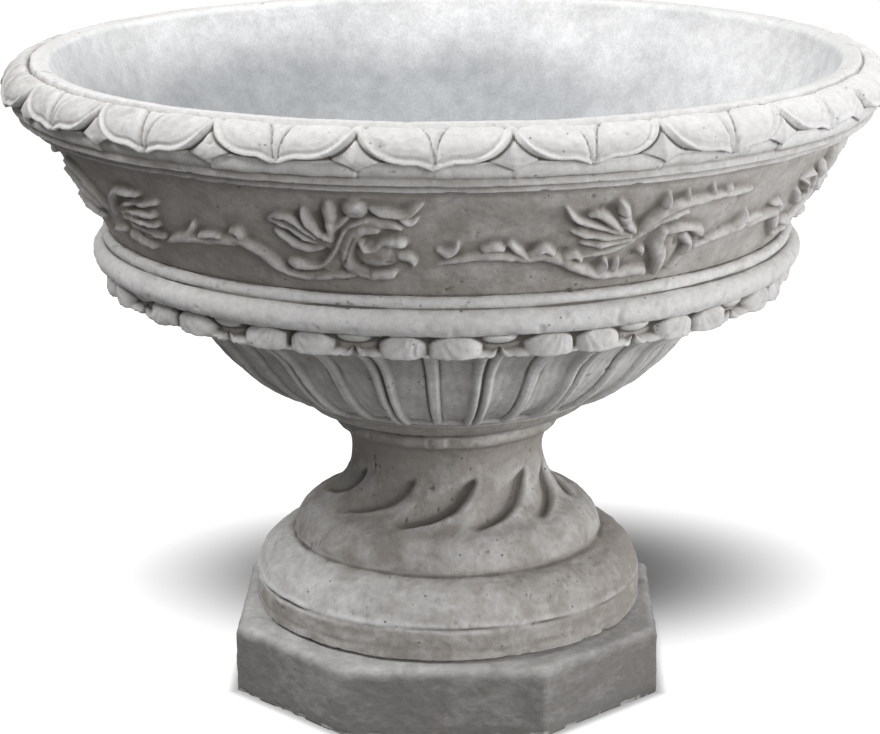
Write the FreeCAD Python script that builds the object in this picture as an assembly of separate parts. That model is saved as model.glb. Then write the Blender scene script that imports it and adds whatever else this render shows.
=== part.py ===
import FreeCAD, Part
import os

# Cast-stone urn planter. Millimetres, +Z up, origin on the ground at the urn's axis.
# Outlines are drawn in the XZ plane as (radius, height) and revolved about Z.
# The reinforcement is cast in, so its bars and hoops lie inside the solid stone.

# ---- plinth ----
plinth_height = 63.0
plinth_width = 389.0          # across the four wide faces
plinth_corner_cut = 105.0     # how much of each end of a wide face the corner face takes
plinth_edge_round = 5.0

# ---- foot, from its underside up ----
mortar_thickness = 3.0
drum_radius = 180.5
drum_height = 27.0
fillet_radius = 182.0
fillet_height = 8.0
lower_torus_radius = 179.0
lower_torus_height = 31.0
crease_radius = 144.5         # between the two tori
upper_torus_height = 30.0
flare_radius = 127.0          # where the upper torus turns into the neck
flare_height = 55.0
neck_radius = 89.5
throat_height = 21.0
throat_radius = 98.0
neck_bead_radius = 106.0
neck_bead_height = 12.5

# ---- bowl, from its underside up ----
pad_thickness = 3.0
collar_foot_radius = 103.0
collar_radius = 140.0
collar_height = 18.5
cup_radius = 226.0
cup_height = 66.0
petal_radius = 308.0
petal_flare_height = 42.0
petal_tip_height = 15.0
torus_radius = 314.0
torus_height = 28.5
bead_radius = 312.4
bead_height = 9.0
frieze_foot_radius = 306.0
frieze_height = 93.5
frieze_top_radius = 359.0
lower_band_radius = 376.0
upper_band_radius = 385.0
band_height = 7.0
cove_height = 6.0
rim_radius = 400.0
rim_underside_height = 13.0
rim_roll_height = 27.0
lip_outer_radius = 372.4
lip_inner_radius = 356.0
wall_thickness = 26.0
floor_thickness = 64.5
floor_radius = 90.0

# ---- ornament cast into the stone ----
petal_count = 16
panel_angle = 9.0
panel_depth = 6.0
swirl_count = 10
swirl_radius = 8.0
swirl_turn = 37.0             # how far round a hollow's top is from its bottom
swirl_first_angle = -112.0
swirl_low_inset = 9.0         # bottom of a hollow, in from and above the flare's edge
swirl_low_rise = 4.0
swirl_high_outset = 1.0       # top of a hollow, out from and below the neck
swirl_high_drop = 10.0

# ---- drain ----
drain_bore_radius = 30.0
sleeve_outer_radius = 21.0
sleeve_inner_radius = 17.0
sleeve_flange_radius = 32.0
sleeve_flange_thickness = 4.0
sleeve_reach = 30.0           # length below the bowl's underside

# ---- dowels ----
dowel_radius = 6.0
dowel_depth = 40.0
dowel_clearance = 1.0         # radial, where the bowl slides over the neck dowels
dowel_end_gap = 4.0
neck_dowel_count = 3
dowel_hoop_gap = 1.1          # between a neck dowel and the hoop around the dowels
neck_dowel_angle = 50.0
foot_dowel_count = 4
foot_dowel_circle = 120.0
foot_dowel_angle = 30.0

# ---- reinforcement ----
bar_radius = 3.0
hoop_bar_radius = 4.0
bar_gap = 0.6                 # between a bar and the hoop that it passes
cover = 24.0                  # stone outside the foot's bars
rim_hoop_radius = 374.0
shoulder_hoop_radius = 300.0
drum_hoop_radius = 158.0
plinth_hoop_radius = 162.0
bowl_bar_count = 8
foot_bar_count = 6
foot_bar_angle = 20.0          # between the neck dowels

quarter_bow = 0.2071          # rise over chord of a quarter circle

# ---- hoop in the neck, and the dowels that stand inside it ----
neck_hoop_radius = neck_radius - cover + bar_radius + hoop_bar_radius + bar_gap
neck_dowel_circle = neck_hoop_radius - hoop_bar_radius - dowel_radius - dowel_hoop_gap

# ---- levels worked out from the stack of heights ----
plinth_top = plinth_height
foot_bottom = plinth_top + mortar_thickness
drum_top = foot_bottom + drum_height
fillet_top = drum_top + fillet_height
crease_level = fillet_top + lower_torus_height
flare_level = crease_level + upper_torus_height
neck_level = flare_level + flare_height
throat_level = neck_level + throat_height
foot_top = throat_level + neck_bead_height
bowl_bottom = foot_top + pad_thickness
collar_top = bowl_bottom + collar_height
cup_top = collar_top + cup_height
petal_level = cup_top + petal_flare_height
torus_bottom = petal_level + petal_tip_height
torus_top = torus_bottom + torus_height
bead_top = torus_top + bead_height
frieze_top = bead_top + frieze_height
cove_top = frieze_top + cove_height
lower_band_top = cove_top + band_height
upper_band_top = lower_band_top + band_height
rim_level = upper_band_top + rim_underside_height
crease_top = rim_level + rim_roll_height
floor_level = bowl_bottom + floor_thickness
drain_level = floor_level - sleeve_flange_thickness / 2

axis_point = FreeCAD.Vector(0, 0, 0)
up = FreeCAD.Vector(0, 0, 1)


def point(radius, height):
    return FreeCAD.Vector(radius, 0, height)


def line(a, b):
    return Part.LineSegment(point(*a), point(*b)).toShape()


def bow(a, b, ratio):
    """Arc from a to b whose rise is ratio x chord, to the right of the way from a to b."""
    middle_r = (a[0] + b[0]) / 2 + ratio * (b[1] - a[1])
    middle_z = (a[1] + b[1]) / 2 - ratio * (b[0] - a[0])
    return Part.Arc(point(*a), point(middle_r, middle_z), point(*b)).toShape()


def spline(points, start_way, end_way):
    curve = Part.BSplineCurve()
    curve.interpolate([point(*p) for p in points],
                      InitialTangent=point(*start_way), FinalTangent=point(*end_way))
    return curve.toShape()


def turned(edges, angle=360.0):
    return Part.Face(Part.Wire(edges)).revolve(axis_point, up, angle)


def ring(radius, height, section_radius):
    return Part.makeTorus(radius, section_radius, point(0, height))


def around(shape, count, first_angle=0.0):
    copies = []
    for index in range(count):
        copy = shape.copy()
        copy.rotate(axis_point, up, first_angle + 360.0 * index / count)
        copies.append(copy)
    return copies


def bent_bar(points):
    """Round bar along straight stretches, rounded at each bend."""
    stretches = []
    for start, end in zip(points, points[1:]):
        way = point(*end).sub(point(*start))
        stretches.append(Part.makeCylinder(bar_radius, way.Length, point(*start), way))
    for bend in points[1:-1]:
        stretches.append(Part.makeSphere(bar_radius, point(*bend)))
    return stretches[0].fuse(stretches[1:]).removeSplitter()


def halfway(a, b):
    return ((a[0] + b[0]) / 2, (a[1] + b[1]) / 2)


# ---- outlines ----
def foot_outline():
    """Outside of the foot from the edge of its underside up to its top face."""
    return [
        line((drum_radius, foot_bottom), (drum_radius, drum_top)),
        bow((drum_radius, drum_top), (lower_torus_radius, fillet_top),
            (fillet_radius - drum_radius) / fillet_height),
        bow((lower_torus_radius, fillet_top), (crease_radius, crease_level), 0.16),
        bow((crease_radius, crease_level), (flare_radius, flare_level), 0.14),
        bow((flare_radius, flare_level), (neck_radius, neck_level), -0.17),
        bow((neck_radius, neck_level), (throat_radius, throat_level), -0.10),
        bow((throat_radius, throat_level), (neck_bead_radius - 2, foot_top), 0.30),
    ]


def bowl_outline():
    """Outside of the bowl from the edge of its underside up to the inner edge of its lip."""
    return [
        line((collar_foot_radius, bowl_bottom), (collar_foot_radius, bowl_bottom + 2)),
        bow((collar_foot_radius, bowl_bottom + 2), (collar_radius, collar_top), 0.14),
        bow((collar_radius, collar_top), (cup_radius, cup_top), 0.09),
        bow((cup_radius, cup_top), (petal_radius, petal_level), -0.09),
        bow((petal_radius, petal_level), (petal_radius, torus_bottom), 0.32),
        line((petal_radius, torus_bottom), (torus_radius, torus_bottom)),
        bow((torus_radius, torus_bottom), (bead_radius, torus_top), 0.38),
        bow((bead_radius, torus_top), (frieze_foot_radius, bead_top), 0.5),
        line((frieze_foot_radius, bead_top), (frieze_top_radius, frieze_top)),
        bow((frieze_top_radius, frieze_top), (lower_band_radius, cove_top), -0.2),
        line((lower_band_radius, cove_top), (lower_band_radius, lower_band_top)),
        line((lower_band_radius, lower_band_top), (upper_band_radius, lower_band_top)),
        line((upper_band_radius, lower_band_top), (upper_band_radius, upper_band_top)),
        bow((upper_band_radius, upper_band_top), (rim_radius, rim_level), 0.2),
        bow((rim_radius, rim_level), (lip_outer_radius, crease_top), quarter_bow),
        bow((lip_outer_radius, crease_top), (lip_inner_radius, crease_top - 1.5), 0.17),
    ]


def cavity_points():
    """Inside of the bowl from the lip down to the flat middle of its floor."""
    return [
        (lip_inner_radius, crease_top - 1.5),
        (frieze_top_radius - wall_thickness, frieze_top),
        (frieze_foot_radius - wall_thickness, bead_top),
        (cup_radius - wall_thickness, cup_top + wall_thickness * 0.8),
        (floor_radius, floor_level),
    ]


def outside_points():
    """Outside of the bowl's wall, opposite each of the cavity points below the lip."""
    return [
        (frieze_top_radius, frieze_top),
        (frieze_foot_radius, bead_top),
        (cup_radius, cup_top),
        (collar_radius, collar_top),
    ]


# ---- reinforcement and dowels ----
def bowl_bars():
    path = [(rim_hoop_radius - hoop_bar_radius - bar_radius - bar_gap, rim_level)]
    for inside, outside in zip(cavity_points()[1:], outside_points()):
        path.append(halfway(inside, outside))
    return around(bent_bar(path), bowl_bar_count, 180.0 / bowl_bar_count)


def foot_bars():
    path = [
        (drum_hoop_radius - hoop_bar_radius - bar_radius - bar_gap, foot_bottom + cover / 2),
        (crease_radius - cover, crease_level + 6),
        (flare_radius - cover - 8, flare_level + 8),
        (neck_radius - cover, neck_level - 8),
        (neck_radius - cover, foot_top - cover / 2),
    ]
    return around(bent_bar(path), foot_bar_count, foot_bar_angle)


def neck_dowels():
    length = 2 * dowel_depth + pad_thickness
    pin = Part.makeCylinder(dowel_radius, length, point(neck_dowel_circle, foot_top - dowel_depth))
    return around(pin, neck_dowel_count, neck_dowel_angle)


def neck_dowel_holes():
    depth = dowel_depth + dowel_end_gap
    hole = Part.makeCylinder(dowel_radius + dowel_clearance, depth,
                             point(neck_dowel_circle, bowl_bottom))
    return around(hole, neck_dowel_count, neck_dowel_angle)


def foot_dowels():
    length = 2 * dowel_depth + mortar_thickness
    pin = Part.makeCylinder(dowel_radius, length,
                            point(foot_dowel_circle, plinth_top - dowel_depth))
    return around(pin, foot_dowel_count, foot_dowel_angle)


# ---- ornament ----
def petal_panels():
    """Sunk panels between the petals, from the collar up to the torus."""
    base = (collar_radius, collar_top + panel_depth)
    belly = (cup_radius - panel_depth, cup_top)
    head = (petal_radius - 2 * panel_depth, torus_bottom)
    outer = petal_radius + 4 * panel_depth
    panel = turned([
        bow(base, belly, 0.09),
        bow(belly, head, -0.09),
        line(head, (outer, torus_bottom)),
        line((outer, torus_bottom), (outer, base[1])),
        line((outer, base[1]), base),
    ], panel_angle)
    return around(panel, petal_count, -90.0 + 180.0 / petal_count - panel_angle / 2)


def swirl_hollows():
    """Leaning round-ended hollows around the flare, from the upper torus to the neck."""
    low = point(flare_radius - swirl_low_inset, flare_level + swirl_low_rise)
    high = point(neck_radius + swirl_high_outset, neck_level - swirl_high_drop)
    turn = FreeCAD.Rotation(up, swirl_turn)
    high = turn.multVec(high)
    way = high.sub(low)
    sideways = FreeCAD.Vector(0, 1, 0)
    hollow = Part.makeCylinder(swirl_radius, way.Length, low, way)
    hollow = hollow.fuse(Part.makeSphere(swirl_radius, low, sideways))
    hollow = hollow.fuse(Part.makeSphere(swirl_radius, high, turn.multVec(sideways)))
    return around(hollow, swirl_count, swirl_first_angle)


# ---- pieces ----
def plinth_solid():
    half = plinth_width / 2
    near = half - plinth_corner_cut
    corners = []
    for quarter in range(4):
        turn = FreeCAD.Rotation(up, 90.0 * quarter)
        corners.append(turn.multVec(FreeCAD.Vector(near, -half, 0)))
        corners.append(turn.multVec(FreeCAD.Vector(half, -near, 0)))
    corners.append(corners[0])
    slab = Part.Face(Part.makePolygon(corners)).extrude(FreeCAD.Vector(0, 0, plinth_height))
    top_edges = []
    for edge in slab.Edges:
        if abs(edge.BoundBox.ZMin - plinth_height) < 0.01:
            top_edges.append(edge)
    slab = slab.makeFillet(plinth_edge_round, top_edges)
    bore = Part.makeCylinder(drain_bore_radius, plinth_height)
    return slab.cut([bore] + foot_dowels())


def plinth_hoop():
    return ring(plinth_hoop_radius, plinth_height / 2, hoop_bar_radius)


def mortar_solid():
    disc = Part.makeCylinder(drum_radius - 7, mortar_thickness, point(0, plinth_top))
    bore = Part.makeCylinder(drain_bore_radius + 6, mortar_thickness, point(0, plinth_top))
    return disc.cut([bore] + foot_dowels())


def drum_hoop():
    return ring(drum_hoop_radius, foot_bottom + cover / 2 + 3, hoop_bar_radius)


def neck_hoop():
    return ring(neck_hoop_radius, foot_top - cover, hoop_bar_radius)


def foot_solid():
    body = turned(foot_outline() + [
        line((neck_bead_radius - 2, foot_top), (drain_bore_radius, foot_top)),
        line((drain_bore_radius, foot_top), (drain_bore_radius, foot_bottom)),
        line((drain_bore_radius, foot_bottom), (drum_radius, foot_bottom)),
    ])
    body = body.cut(swirl_hollows())
    return body.cut(neck_dowels() + foot_dowels())


def pad_solid():
    disc = Part.makeCylinder(collar_foot_radius - 5, pad_thickness, point(0, foot_top))
    bore = Part.makeCylinder(drain_bore_radius + 4, pad_thickness, point(0, foot_top))
    return disc.cut([bore] + neck_dowels())


def rim_hoop():
    return ring(rim_hoop_radius, rim_level, hoop_bar_radius)


def shoulder_hoop():
    return ring(shoulder_hoop_radius, (torus_bottom + torus_top) / 2, hoop_bar_radius)


def sleeve_solid():
    bottom = bowl_bottom - sleeve_reach
    flange_bottom = drain_level - sleeve_flange_thickness
    return turned([
        line((sleeve_inner_radius, bottom), (sleeve_outer_radius, bottom)),
        line((sleeve_outer_radius, bottom), (sleeve_outer_radius, flange_bottom)),
        line((sleeve_outer_radius, flange_bottom), (sleeve_flange_radius, flange_bottom)),
        line((sleeve_flange_radius, flange_bottom), (sleeve_flange_radius, drain_level)),
        line((sleeve_flange_radius, drain_level), (sleeve_inner_radius, drain_level)),
        line((sleeve_inner_radius, drain_level), (sleeve_inner_radius, bottom)),
    ])


def bowl_solid():
    inside = cavity_points()
    well_radius = sleeve_flange_radius + 6
    body = turned(bowl_outline() + [
        spline(inside, (-8, -30), (-30, 0)),
        line(inside[-1], (well_radius, drain_level)),
        line((well_radius, drain_level), (sleeve_inner_radius, drain_level)),
        line((sleeve_inner_radius, drain_level), (sleeve_inner_radius, bowl_bottom)),
        line((sleeve_inner_radius, bowl_bottom), (collar_foot_radius, bowl_bottom)),
    ])
    body = body.cut(petal_panels())
    return body.cut(neck_dowel_holes() + [sleeve_solid()])


def save(name, shape):
    if shape.ShapeType == "Compound" and len(shape.Solids) == 1:
        shape = shape.Solids[0]
    shape.exportStep("parts/" + name + ".step")


os.makedirs("parts", exist_ok=True)
save("plinth", plinth_solid())
save("plinth_hoop", plinth_hoop())
save("plinth_mortar", mortar_solid())
save("foot_dowels", Part.makeCompound(foot_dowels()))
save("foot", foot_solid())
save("foot_bars", Part.makeCompound(foot_bars()))
save("drum_hoop", drum_hoop())
save("neck_hoop", neck_hoop())
save("neck_dowels", Part.makeCompound(neck_dowels()))
save("seat_pad", pad_solid())
save("drain_sleeve", sleeve_solid())
save("bowl", bowl_solid())
save("bowl_bars", Part.makeCompound(bowl_bars()))
save("rim_hoop", rim_hoop())
save("shoulder_hoop", shoulder_hoop())
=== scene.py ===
"""Cast-stone urn planter: bowl, foot and octagonal plinth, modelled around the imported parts."""

import math

import bpy
import numpy as np
from bpy.props import FloatProperty, FloatVectorProperty, IntProperty, PointerProperty
from mathutils import Matrix, Vector
from mathutils.geometry import delaunay_2d_cdt


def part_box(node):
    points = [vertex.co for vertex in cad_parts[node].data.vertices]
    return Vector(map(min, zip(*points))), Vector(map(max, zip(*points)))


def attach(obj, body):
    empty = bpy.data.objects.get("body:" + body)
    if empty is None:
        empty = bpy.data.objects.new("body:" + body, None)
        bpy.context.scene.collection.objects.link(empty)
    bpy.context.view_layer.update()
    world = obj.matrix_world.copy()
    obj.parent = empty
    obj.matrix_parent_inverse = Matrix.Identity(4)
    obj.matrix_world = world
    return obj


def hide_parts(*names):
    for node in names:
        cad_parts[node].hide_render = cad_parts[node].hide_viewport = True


bl_info = {
    "name": "Urn planter",
    "version": (1, 0, 0),
    "blender": (4, 5, 0),
    "location": "3D View > Sidebar > Urn planter",
    "description": "Cast-stone urn on an octagonal plinth, with its ornament, fittings and stage",
    "category": "Object",
}

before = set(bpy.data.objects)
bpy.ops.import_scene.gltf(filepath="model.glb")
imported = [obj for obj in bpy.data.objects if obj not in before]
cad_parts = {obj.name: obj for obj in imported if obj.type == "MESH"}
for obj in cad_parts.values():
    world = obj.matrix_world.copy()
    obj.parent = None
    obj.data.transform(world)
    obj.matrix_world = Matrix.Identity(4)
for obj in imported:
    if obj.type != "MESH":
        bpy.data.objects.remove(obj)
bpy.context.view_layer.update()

MM = 0.001  # metres in a millimetre; the shapes below are worked out in millimetres
FRONT = 1.18  # degrees from the plinth's front face to the ornament's front
SEED = 41  # of the noise that wears the stone
OUTLINE_STEP = 0.5  # between the points of an outline


# ---------------------------------------------------------------- sizes and colours
class UrnOrnament(bpy.types.PropertyGroup):
    """Counts and depths of the cast ornament."""

    leaf_count: IntProperty(name="Rim leaves", description="Leaves around the rim", default=20)
    leaf_depth: FloatProperty(
        name="Leaf depth", description="Ground between the leaves, below their faces",
        default=0.0085, unit="LENGTH")
    scroll_depth: FloatProperty(
        name="Scroll relief", description="Highest part of the scroll above the wall",
        default=0.0105, unit="LENGTH")
    petal_count: IntProperty(name="Petals", description="Petals around the cup", default=16)
    petal_depth: FloatProperty(
        name="Petal depth", description="Panels of the petals, below their ribs",
        default=0.0055, unit="LENGTH")
    hollow_count: IntProperty(name="Hollows", description="Leaning hollows in the foot", default=10)
    hollow_depth: FloatProperty(
        name="Hollow depth", description="Depth of the leaning hollows",
        default=0.0085, unit="LENGTH")
    wear: FloatProperty(
        name="Wear", description="Unevenness of the cast surface", default=0.0007, unit="LENGTH")


class UrnStone(bpy.types.PropertyGroup):
    """Colours of the stone."""

    # Pale of the bleached stone; painted side light and the painted highlight on raised parts also
    # mix towards it.
    pale: FloatVectorProperty(
        name="Pale", description="Bleached rim and raised parts", size=3, subtype="COLOR",
        default=(0.74, 0.735, 0.73))
    body: FloatVectorProperty(
        name="Body", description="Plain stone", size=3, subtype="COLOR",
        default=(0.36, 0.335, 0.31))
    # Dark colour of grime and of the painted shade in the crevices; stains and pits take it too.
    dirt_and_shade: FloatVectorProperty(
        name="Dirt", description="Dirt in the crevices", size=3, subtype="COLOR",
        default=(0.12, 0.112, 0.10))
    # Blue-grey of the weathered inside, also laid on deep down and on the left as painted shade.
    inside: FloatVectorProperty(
        name="Inside", description="Weathered inside of the bowl", size=3, subtype="COLOR",
        default=(0.485, 0.50, 0.515))
    plinth: FloatVectorProperty(
        name="Plinth", description="Darker stone of the plinth", size=3, subtype="COLOR",
        default=(0.235, 0.228, 0.22))


class UrnStage(bpy.types.PropertyGroup):
    """Lights of the stage."""

    left_power: FloatProperty(name="Left light", description="Power of the light high on the left",
                              default=50.0, unit="POWER")
    right_power: FloatProperty(name="Right light", description="Power of the light high on the right",
                               default=2.0, unit="POWER")
    low_power: FloatProperty(name="Low light", description="Power of the low light on the right",
                             default=26.0, unit="POWER")
    top_power: FloatProperty(name="Top light", description="Power of the light overhead",
                             default=24.0, unit="POWER")
    front_power: FloatProperty(name="Front light", description="Power of the light in front",
                               default=24.0, unit="POWER")
    sky: FloatProperty(name="Sky", description="Strength of the light from all round", default=0.04)


# ---------------------------------------------------------------- outlines
def bow(start, end, ratio):
    """Points from start to end, end left out, on an arc that rises ratio x chord."""
    start, end = np.array(start, float), np.array(end, float)
    chord = end - start
    length = math.hypot(*chord)
    count = max(2, int(length / OUTLINE_STEP))
    if not ratio:
        return start + np.linspace(0, 1, count, endpoint=False)[:, None] * chord
    along = chord / length
    side = np.array([along[1], -along[0]]) * math.copysign(1, ratio)
    rise = abs(ratio) * length
    radius = (length**2 / 4 + rise**2) / (2 * rise)
    half = 2 * math.atan(2 * rise / length)
    centre = (start + end) / 2 + side * (rise - radius)
    turn = np.linspace(-half, half, count, endpoint=False)[:, None]
    return centre + radius * (side * np.cos(turn) + along * np.sin(turn))


def clamped_curve(knots, start_way, end_way):
    """Points of the smooth curve through knots, with given end directions."""
    knots = np.array(knots, float)
    steps = np.hypot(*np.diff(knots, axis=0).T)
    count = len(knots)
    matrix = np.zeros((count, count))
    right = np.zeros((count, 2))
    matrix[0, 0] = matrix[-1, -1] = 1
    right[0] = np.array(start_way) / math.hypot(*start_way)
    right[-1] = np.array(end_way) / math.hypot(*end_way)
    for i in range(1, count - 1):
        before, after = steps[i - 1], steps[i]
        matrix[i, i - 1:i + 2] = after, 2 * (before + after), before
        right[i] = 3 * (before * (knots[i + 1] - knots[i]) / after
                        + after * (knots[i] - knots[i - 1]) / before)
    ways = np.linalg.solve(matrix, right)
    points = []
    for i, step in enumerate(steps):
        count = max(2, int(step / OUTLINE_STEP))
        t = np.linspace(0, 1, count, endpoint=False)[:, None]
        points.append((2 * t**3 - 3 * t**2 + 1) * knots[i] + (t**3 - 2 * t**2 + t) * step * ways[i]
                      + (3 * t**2 - 2 * t**3) * knots[i + 1] + (t**3 - t**2) * step * ways[i + 1])
    return np.concatenate(points)


def chain(start, *rows):
    """Named edges from corner to corner; a row has a name, its end, and a bow's ratio or a curve."""
    edges = []
    for name, end, shape in rows:
        edges.append((name, shape if isinstance(shape, np.ndarray) else bow(start, end, shape)))
        start = end
    return edges


def smoothed(values, sigma):
    """Rows of values smoothed along the first axis; both ends run on straight."""
    reach = int(4 * sigma) + 1
    kernel = np.exp(-0.5 * (np.arange(-reach, reach + 1) / sigma) ** 2)
    kernel /= kernel.sum()
    steps = np.arange(1, reach + 1)[:, None]
    before = values[0] - steps[::-1] * (values[1] - values[0])
    after = values[-1] + steps * (values[-1] - values[-2])
    padded = np.concatenate([before, values, after])
    return np.stack([np.convolve(padded[:, k], kernel, "valid") for k in range(values.shape[1])], 1)


class Outline:
    """A turned section in millimetres, with softened corners and named places along it."""

    DIP_REACH = 5.0  # how far round a place the section is averaged to find its hollows

    def __init__(self, edges, softness):
        points, self.at, total = [], {}, 0.0
        for name, edge in edges:
            self.at[name] = total
            points.append(edge)
            joined = np.concatenate(points)
            total = float(np.hypot(*np.diff(joined, axis=0).T).sum())
        way = np.concatenate([[0], np.cumsum(np.hypot(*np.diff(joined, axis=0).T))])
        self.s = np.arange(0, total, OUTLINE_STEP)
        even = np.stack([np.interp(self.s, way, joined[:, k]) for k in (0, 1)], 1)
        self.path = smoothed(even, softness / OUTLINE_STEP)
        tangent = np.gradient(self.path, axis=0)
        tangent /= np.hypot(*tangent.T)[:, None]
        self.normal = np.stack([tangent[:, 1], -tangent[:, 0]], 1)
        wide = smoothed(even, self.DIP_REACH / OUTLINE_STEP)
        self.dip = ((wide - self.path) * self.normal).sum(1)

    def pick(self, values, s):
        """Values kept for the outline's points, read at distances s."""
        return np.interp(s, self.s, values)

    def levels(self, *rows):
        """Values along the outline from rows of (named place, millimetres past it, value)."""
        places = [self.at[name] + past for name, past, _ in rows]
        values = [value for _, _, value in rows]
        return lambda s: np.interp(s, places, values)


# ---------------------------------------------------------------- noise and heights
HASH_STEPS = np.array([73856093, 19349663, 83492791])
HASH_BITS = 0xFFFFFFFF


def lumps(points, size, seed):
    """Smooth random field from -1 to 1 over points; size is the distance between lumps."""
    spot = points / size + 31.7
    cell = np.floor(spot).astype(np.int64)
    part = spot - cell
    part = part * part * (3 - 2 * part)
    total = 0.0
    for corner in range(8):
        step = np.array([corner & 1, corner >> 1 & 1, corner >> 2])
        key = (cell + step) * HASH_STEPS
        key = (key[..., 0] ^ key[..., 1] ^ key[..., 2] ^ seed * 2654435761) & HASH_BITS
        key = (key ^ key >> 15) * 2246822519 & HASH_BITS
        key = (key ^ key >> 13) * 3266489917 & HASH_BITS
        weight = np.prod(np.where(step, part, 1 - part), axis=-1)
        total = total + weight * ((key ^ key >> 16) / 2147483648.0 - 1.0)
    return total


def unrolled(radius, s, turns):
    """Points for noise on a cylinder: s along it, turns in degrees round it."""
    a = np.radians(turns)[None, :]
    level = 0 * s[:, None]
    return np.stack([radius * np.sin(a) + level, radius * np.cos(a) + level, s[:, None] + 0 * a], -1)


def ease(low, high, value):
    """0 up to low, 1 from high on, and a smooth step between; high may be below low."""
    t = np.clip((value - low) / (high - low), 0, 1)
    return t * t * (3 - 2 * t)


def bell(value, width):
    """1 where value is 0, falling smoothly to nearly nothing two widths away."""
    return np.exp(-((value / width) ** 2))


def dome(value):
    """Half a circle: 1 where value is 0, down to 0 at 1 and -1, and 0 beyond them."""
    return np.sqrt(np.clip(1 - value**2, 0, 1))


def rise_over(height, other, width):
    """The higher of two heights, with a rounded corner of that width between them."""
    near = np.clip(width - np.abs(height - other), 0, None) / width
    return np.maximum(height, other) + near * near * width / 4


def wrapped(angle, period=360.0):
    """The same angle between minus and plus half a period."""
    return (angle + period / 2) % period - period / 2


def flowing(points):
    """Catmull-Rom points through the rows of points, six to a span."""
    rows = np.array(points, float)
    if len(rows) < 3:
        return rows
    ends = np.concatenate([[2 * rows[0] - rows[1]], rows, [2 * rows[-1] - rows[-2]]])
    made = []
    for a, b, c, d in zip(ends, ends[1:], ends[2:], ends[3:]):
        for t in np.arange(6) / 6:
            made.append(0.5 * (2 * b + (c - a) * t + (2 * a - 5 * b + 4 * c - d) * t * t
                               + (3 * b - a - 3 * c + d) * t**3))
    made.append(rows[-1])
    made = np.array(made)
    made[:, 2:] = np.clip(made[:, 2:], rows[:, 2:].min(0), rows[:, 2:].max(0))
    return made


class Wall:
    """Heights over an unrolled wall: rows up it in millimetres, columns round it in degrees."""

    MARGIN = 5.0  # room beside a stroke's widest part
    BLEND = 1.3  # width of the rounded corner where ridges meet
    CUT_SIDES = 9.0  # rise of a cut at its half width
    SKIRT = 2.5  # slope of a ridge's foot below the wall's face
    FAR = 1e9

    def __init__(self, rows, turns, radius):
        self.rows, self.turns, self.radius = rows, turns, radius
        self.height = np.zeros((len(rows), len(turns)))

    def stroke(self, points, turn, relief, cut):
        """A tapering rounded ridge, or a groove, through (degrees, up, half width, height)."""
        line = flowing(points)
        reach = line[:, 2].max() + self.MARGIN
        scale = math.radians(self.radius)
        low = line[:, 0].min() + turn - reach / scale
        high = line[:, 0].max() + turn + reach / scale
        middle = (low + high) / 2
        offset = wrapped(self.turns - middle)
        columns = np.nonzero(np.abs(offset) <= (high - low) / 2)[0]
        near = (self.rows > line[:, 1].min() - reach) & (self.rows < line[:, 1].max() + reach)
        rows = np.nonzero(near)[0]
        if not len(columns) or not len(rows):
            return
        x = (offset[columns] + middle - turn)[None, :] * scale
        y = self.rows[rows][:, None]
        found = np.full((len(rows), len(columns)), self.FAR if cut else -self.FAR)
        for a, b in zip(line, line[1:]):
            ax, ay, bx, by = a[0] * scale, a[1], b[0] * scale, b[1]
            square = (bx - ax) ** 2 + (by - ay) ** 2 + 1e-9
            t = np.clip(((x - ax) * (bx - ax) + (y - ay) * (by - ay)) / square, 0, 1)
            distance = np.hypot(x - ax - t * (bx - ax), y - ay - t * (by - ay))
            width = a[2] + t * (b[2] - a[2])
            top = (a[3] + t * (b[3] - a[3])) * relief
            share = distance / width
            if cut:
                found = np.minimum(found, top + self.CUT_SIDES * share**2)
            else:
                ridge = np.where(share < 1, top * dome(share), (width - distance) * self.SKIRT)
                found = np.maximum(found, ridge)
        patch = np.ix_(rows, columns)
        if cut:
            self.height[patch] = np.minimum(self.height[patch], found)
        else:
            self.height[patch] = rise_over(self.height[patch], found, self.BLEND)


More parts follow.
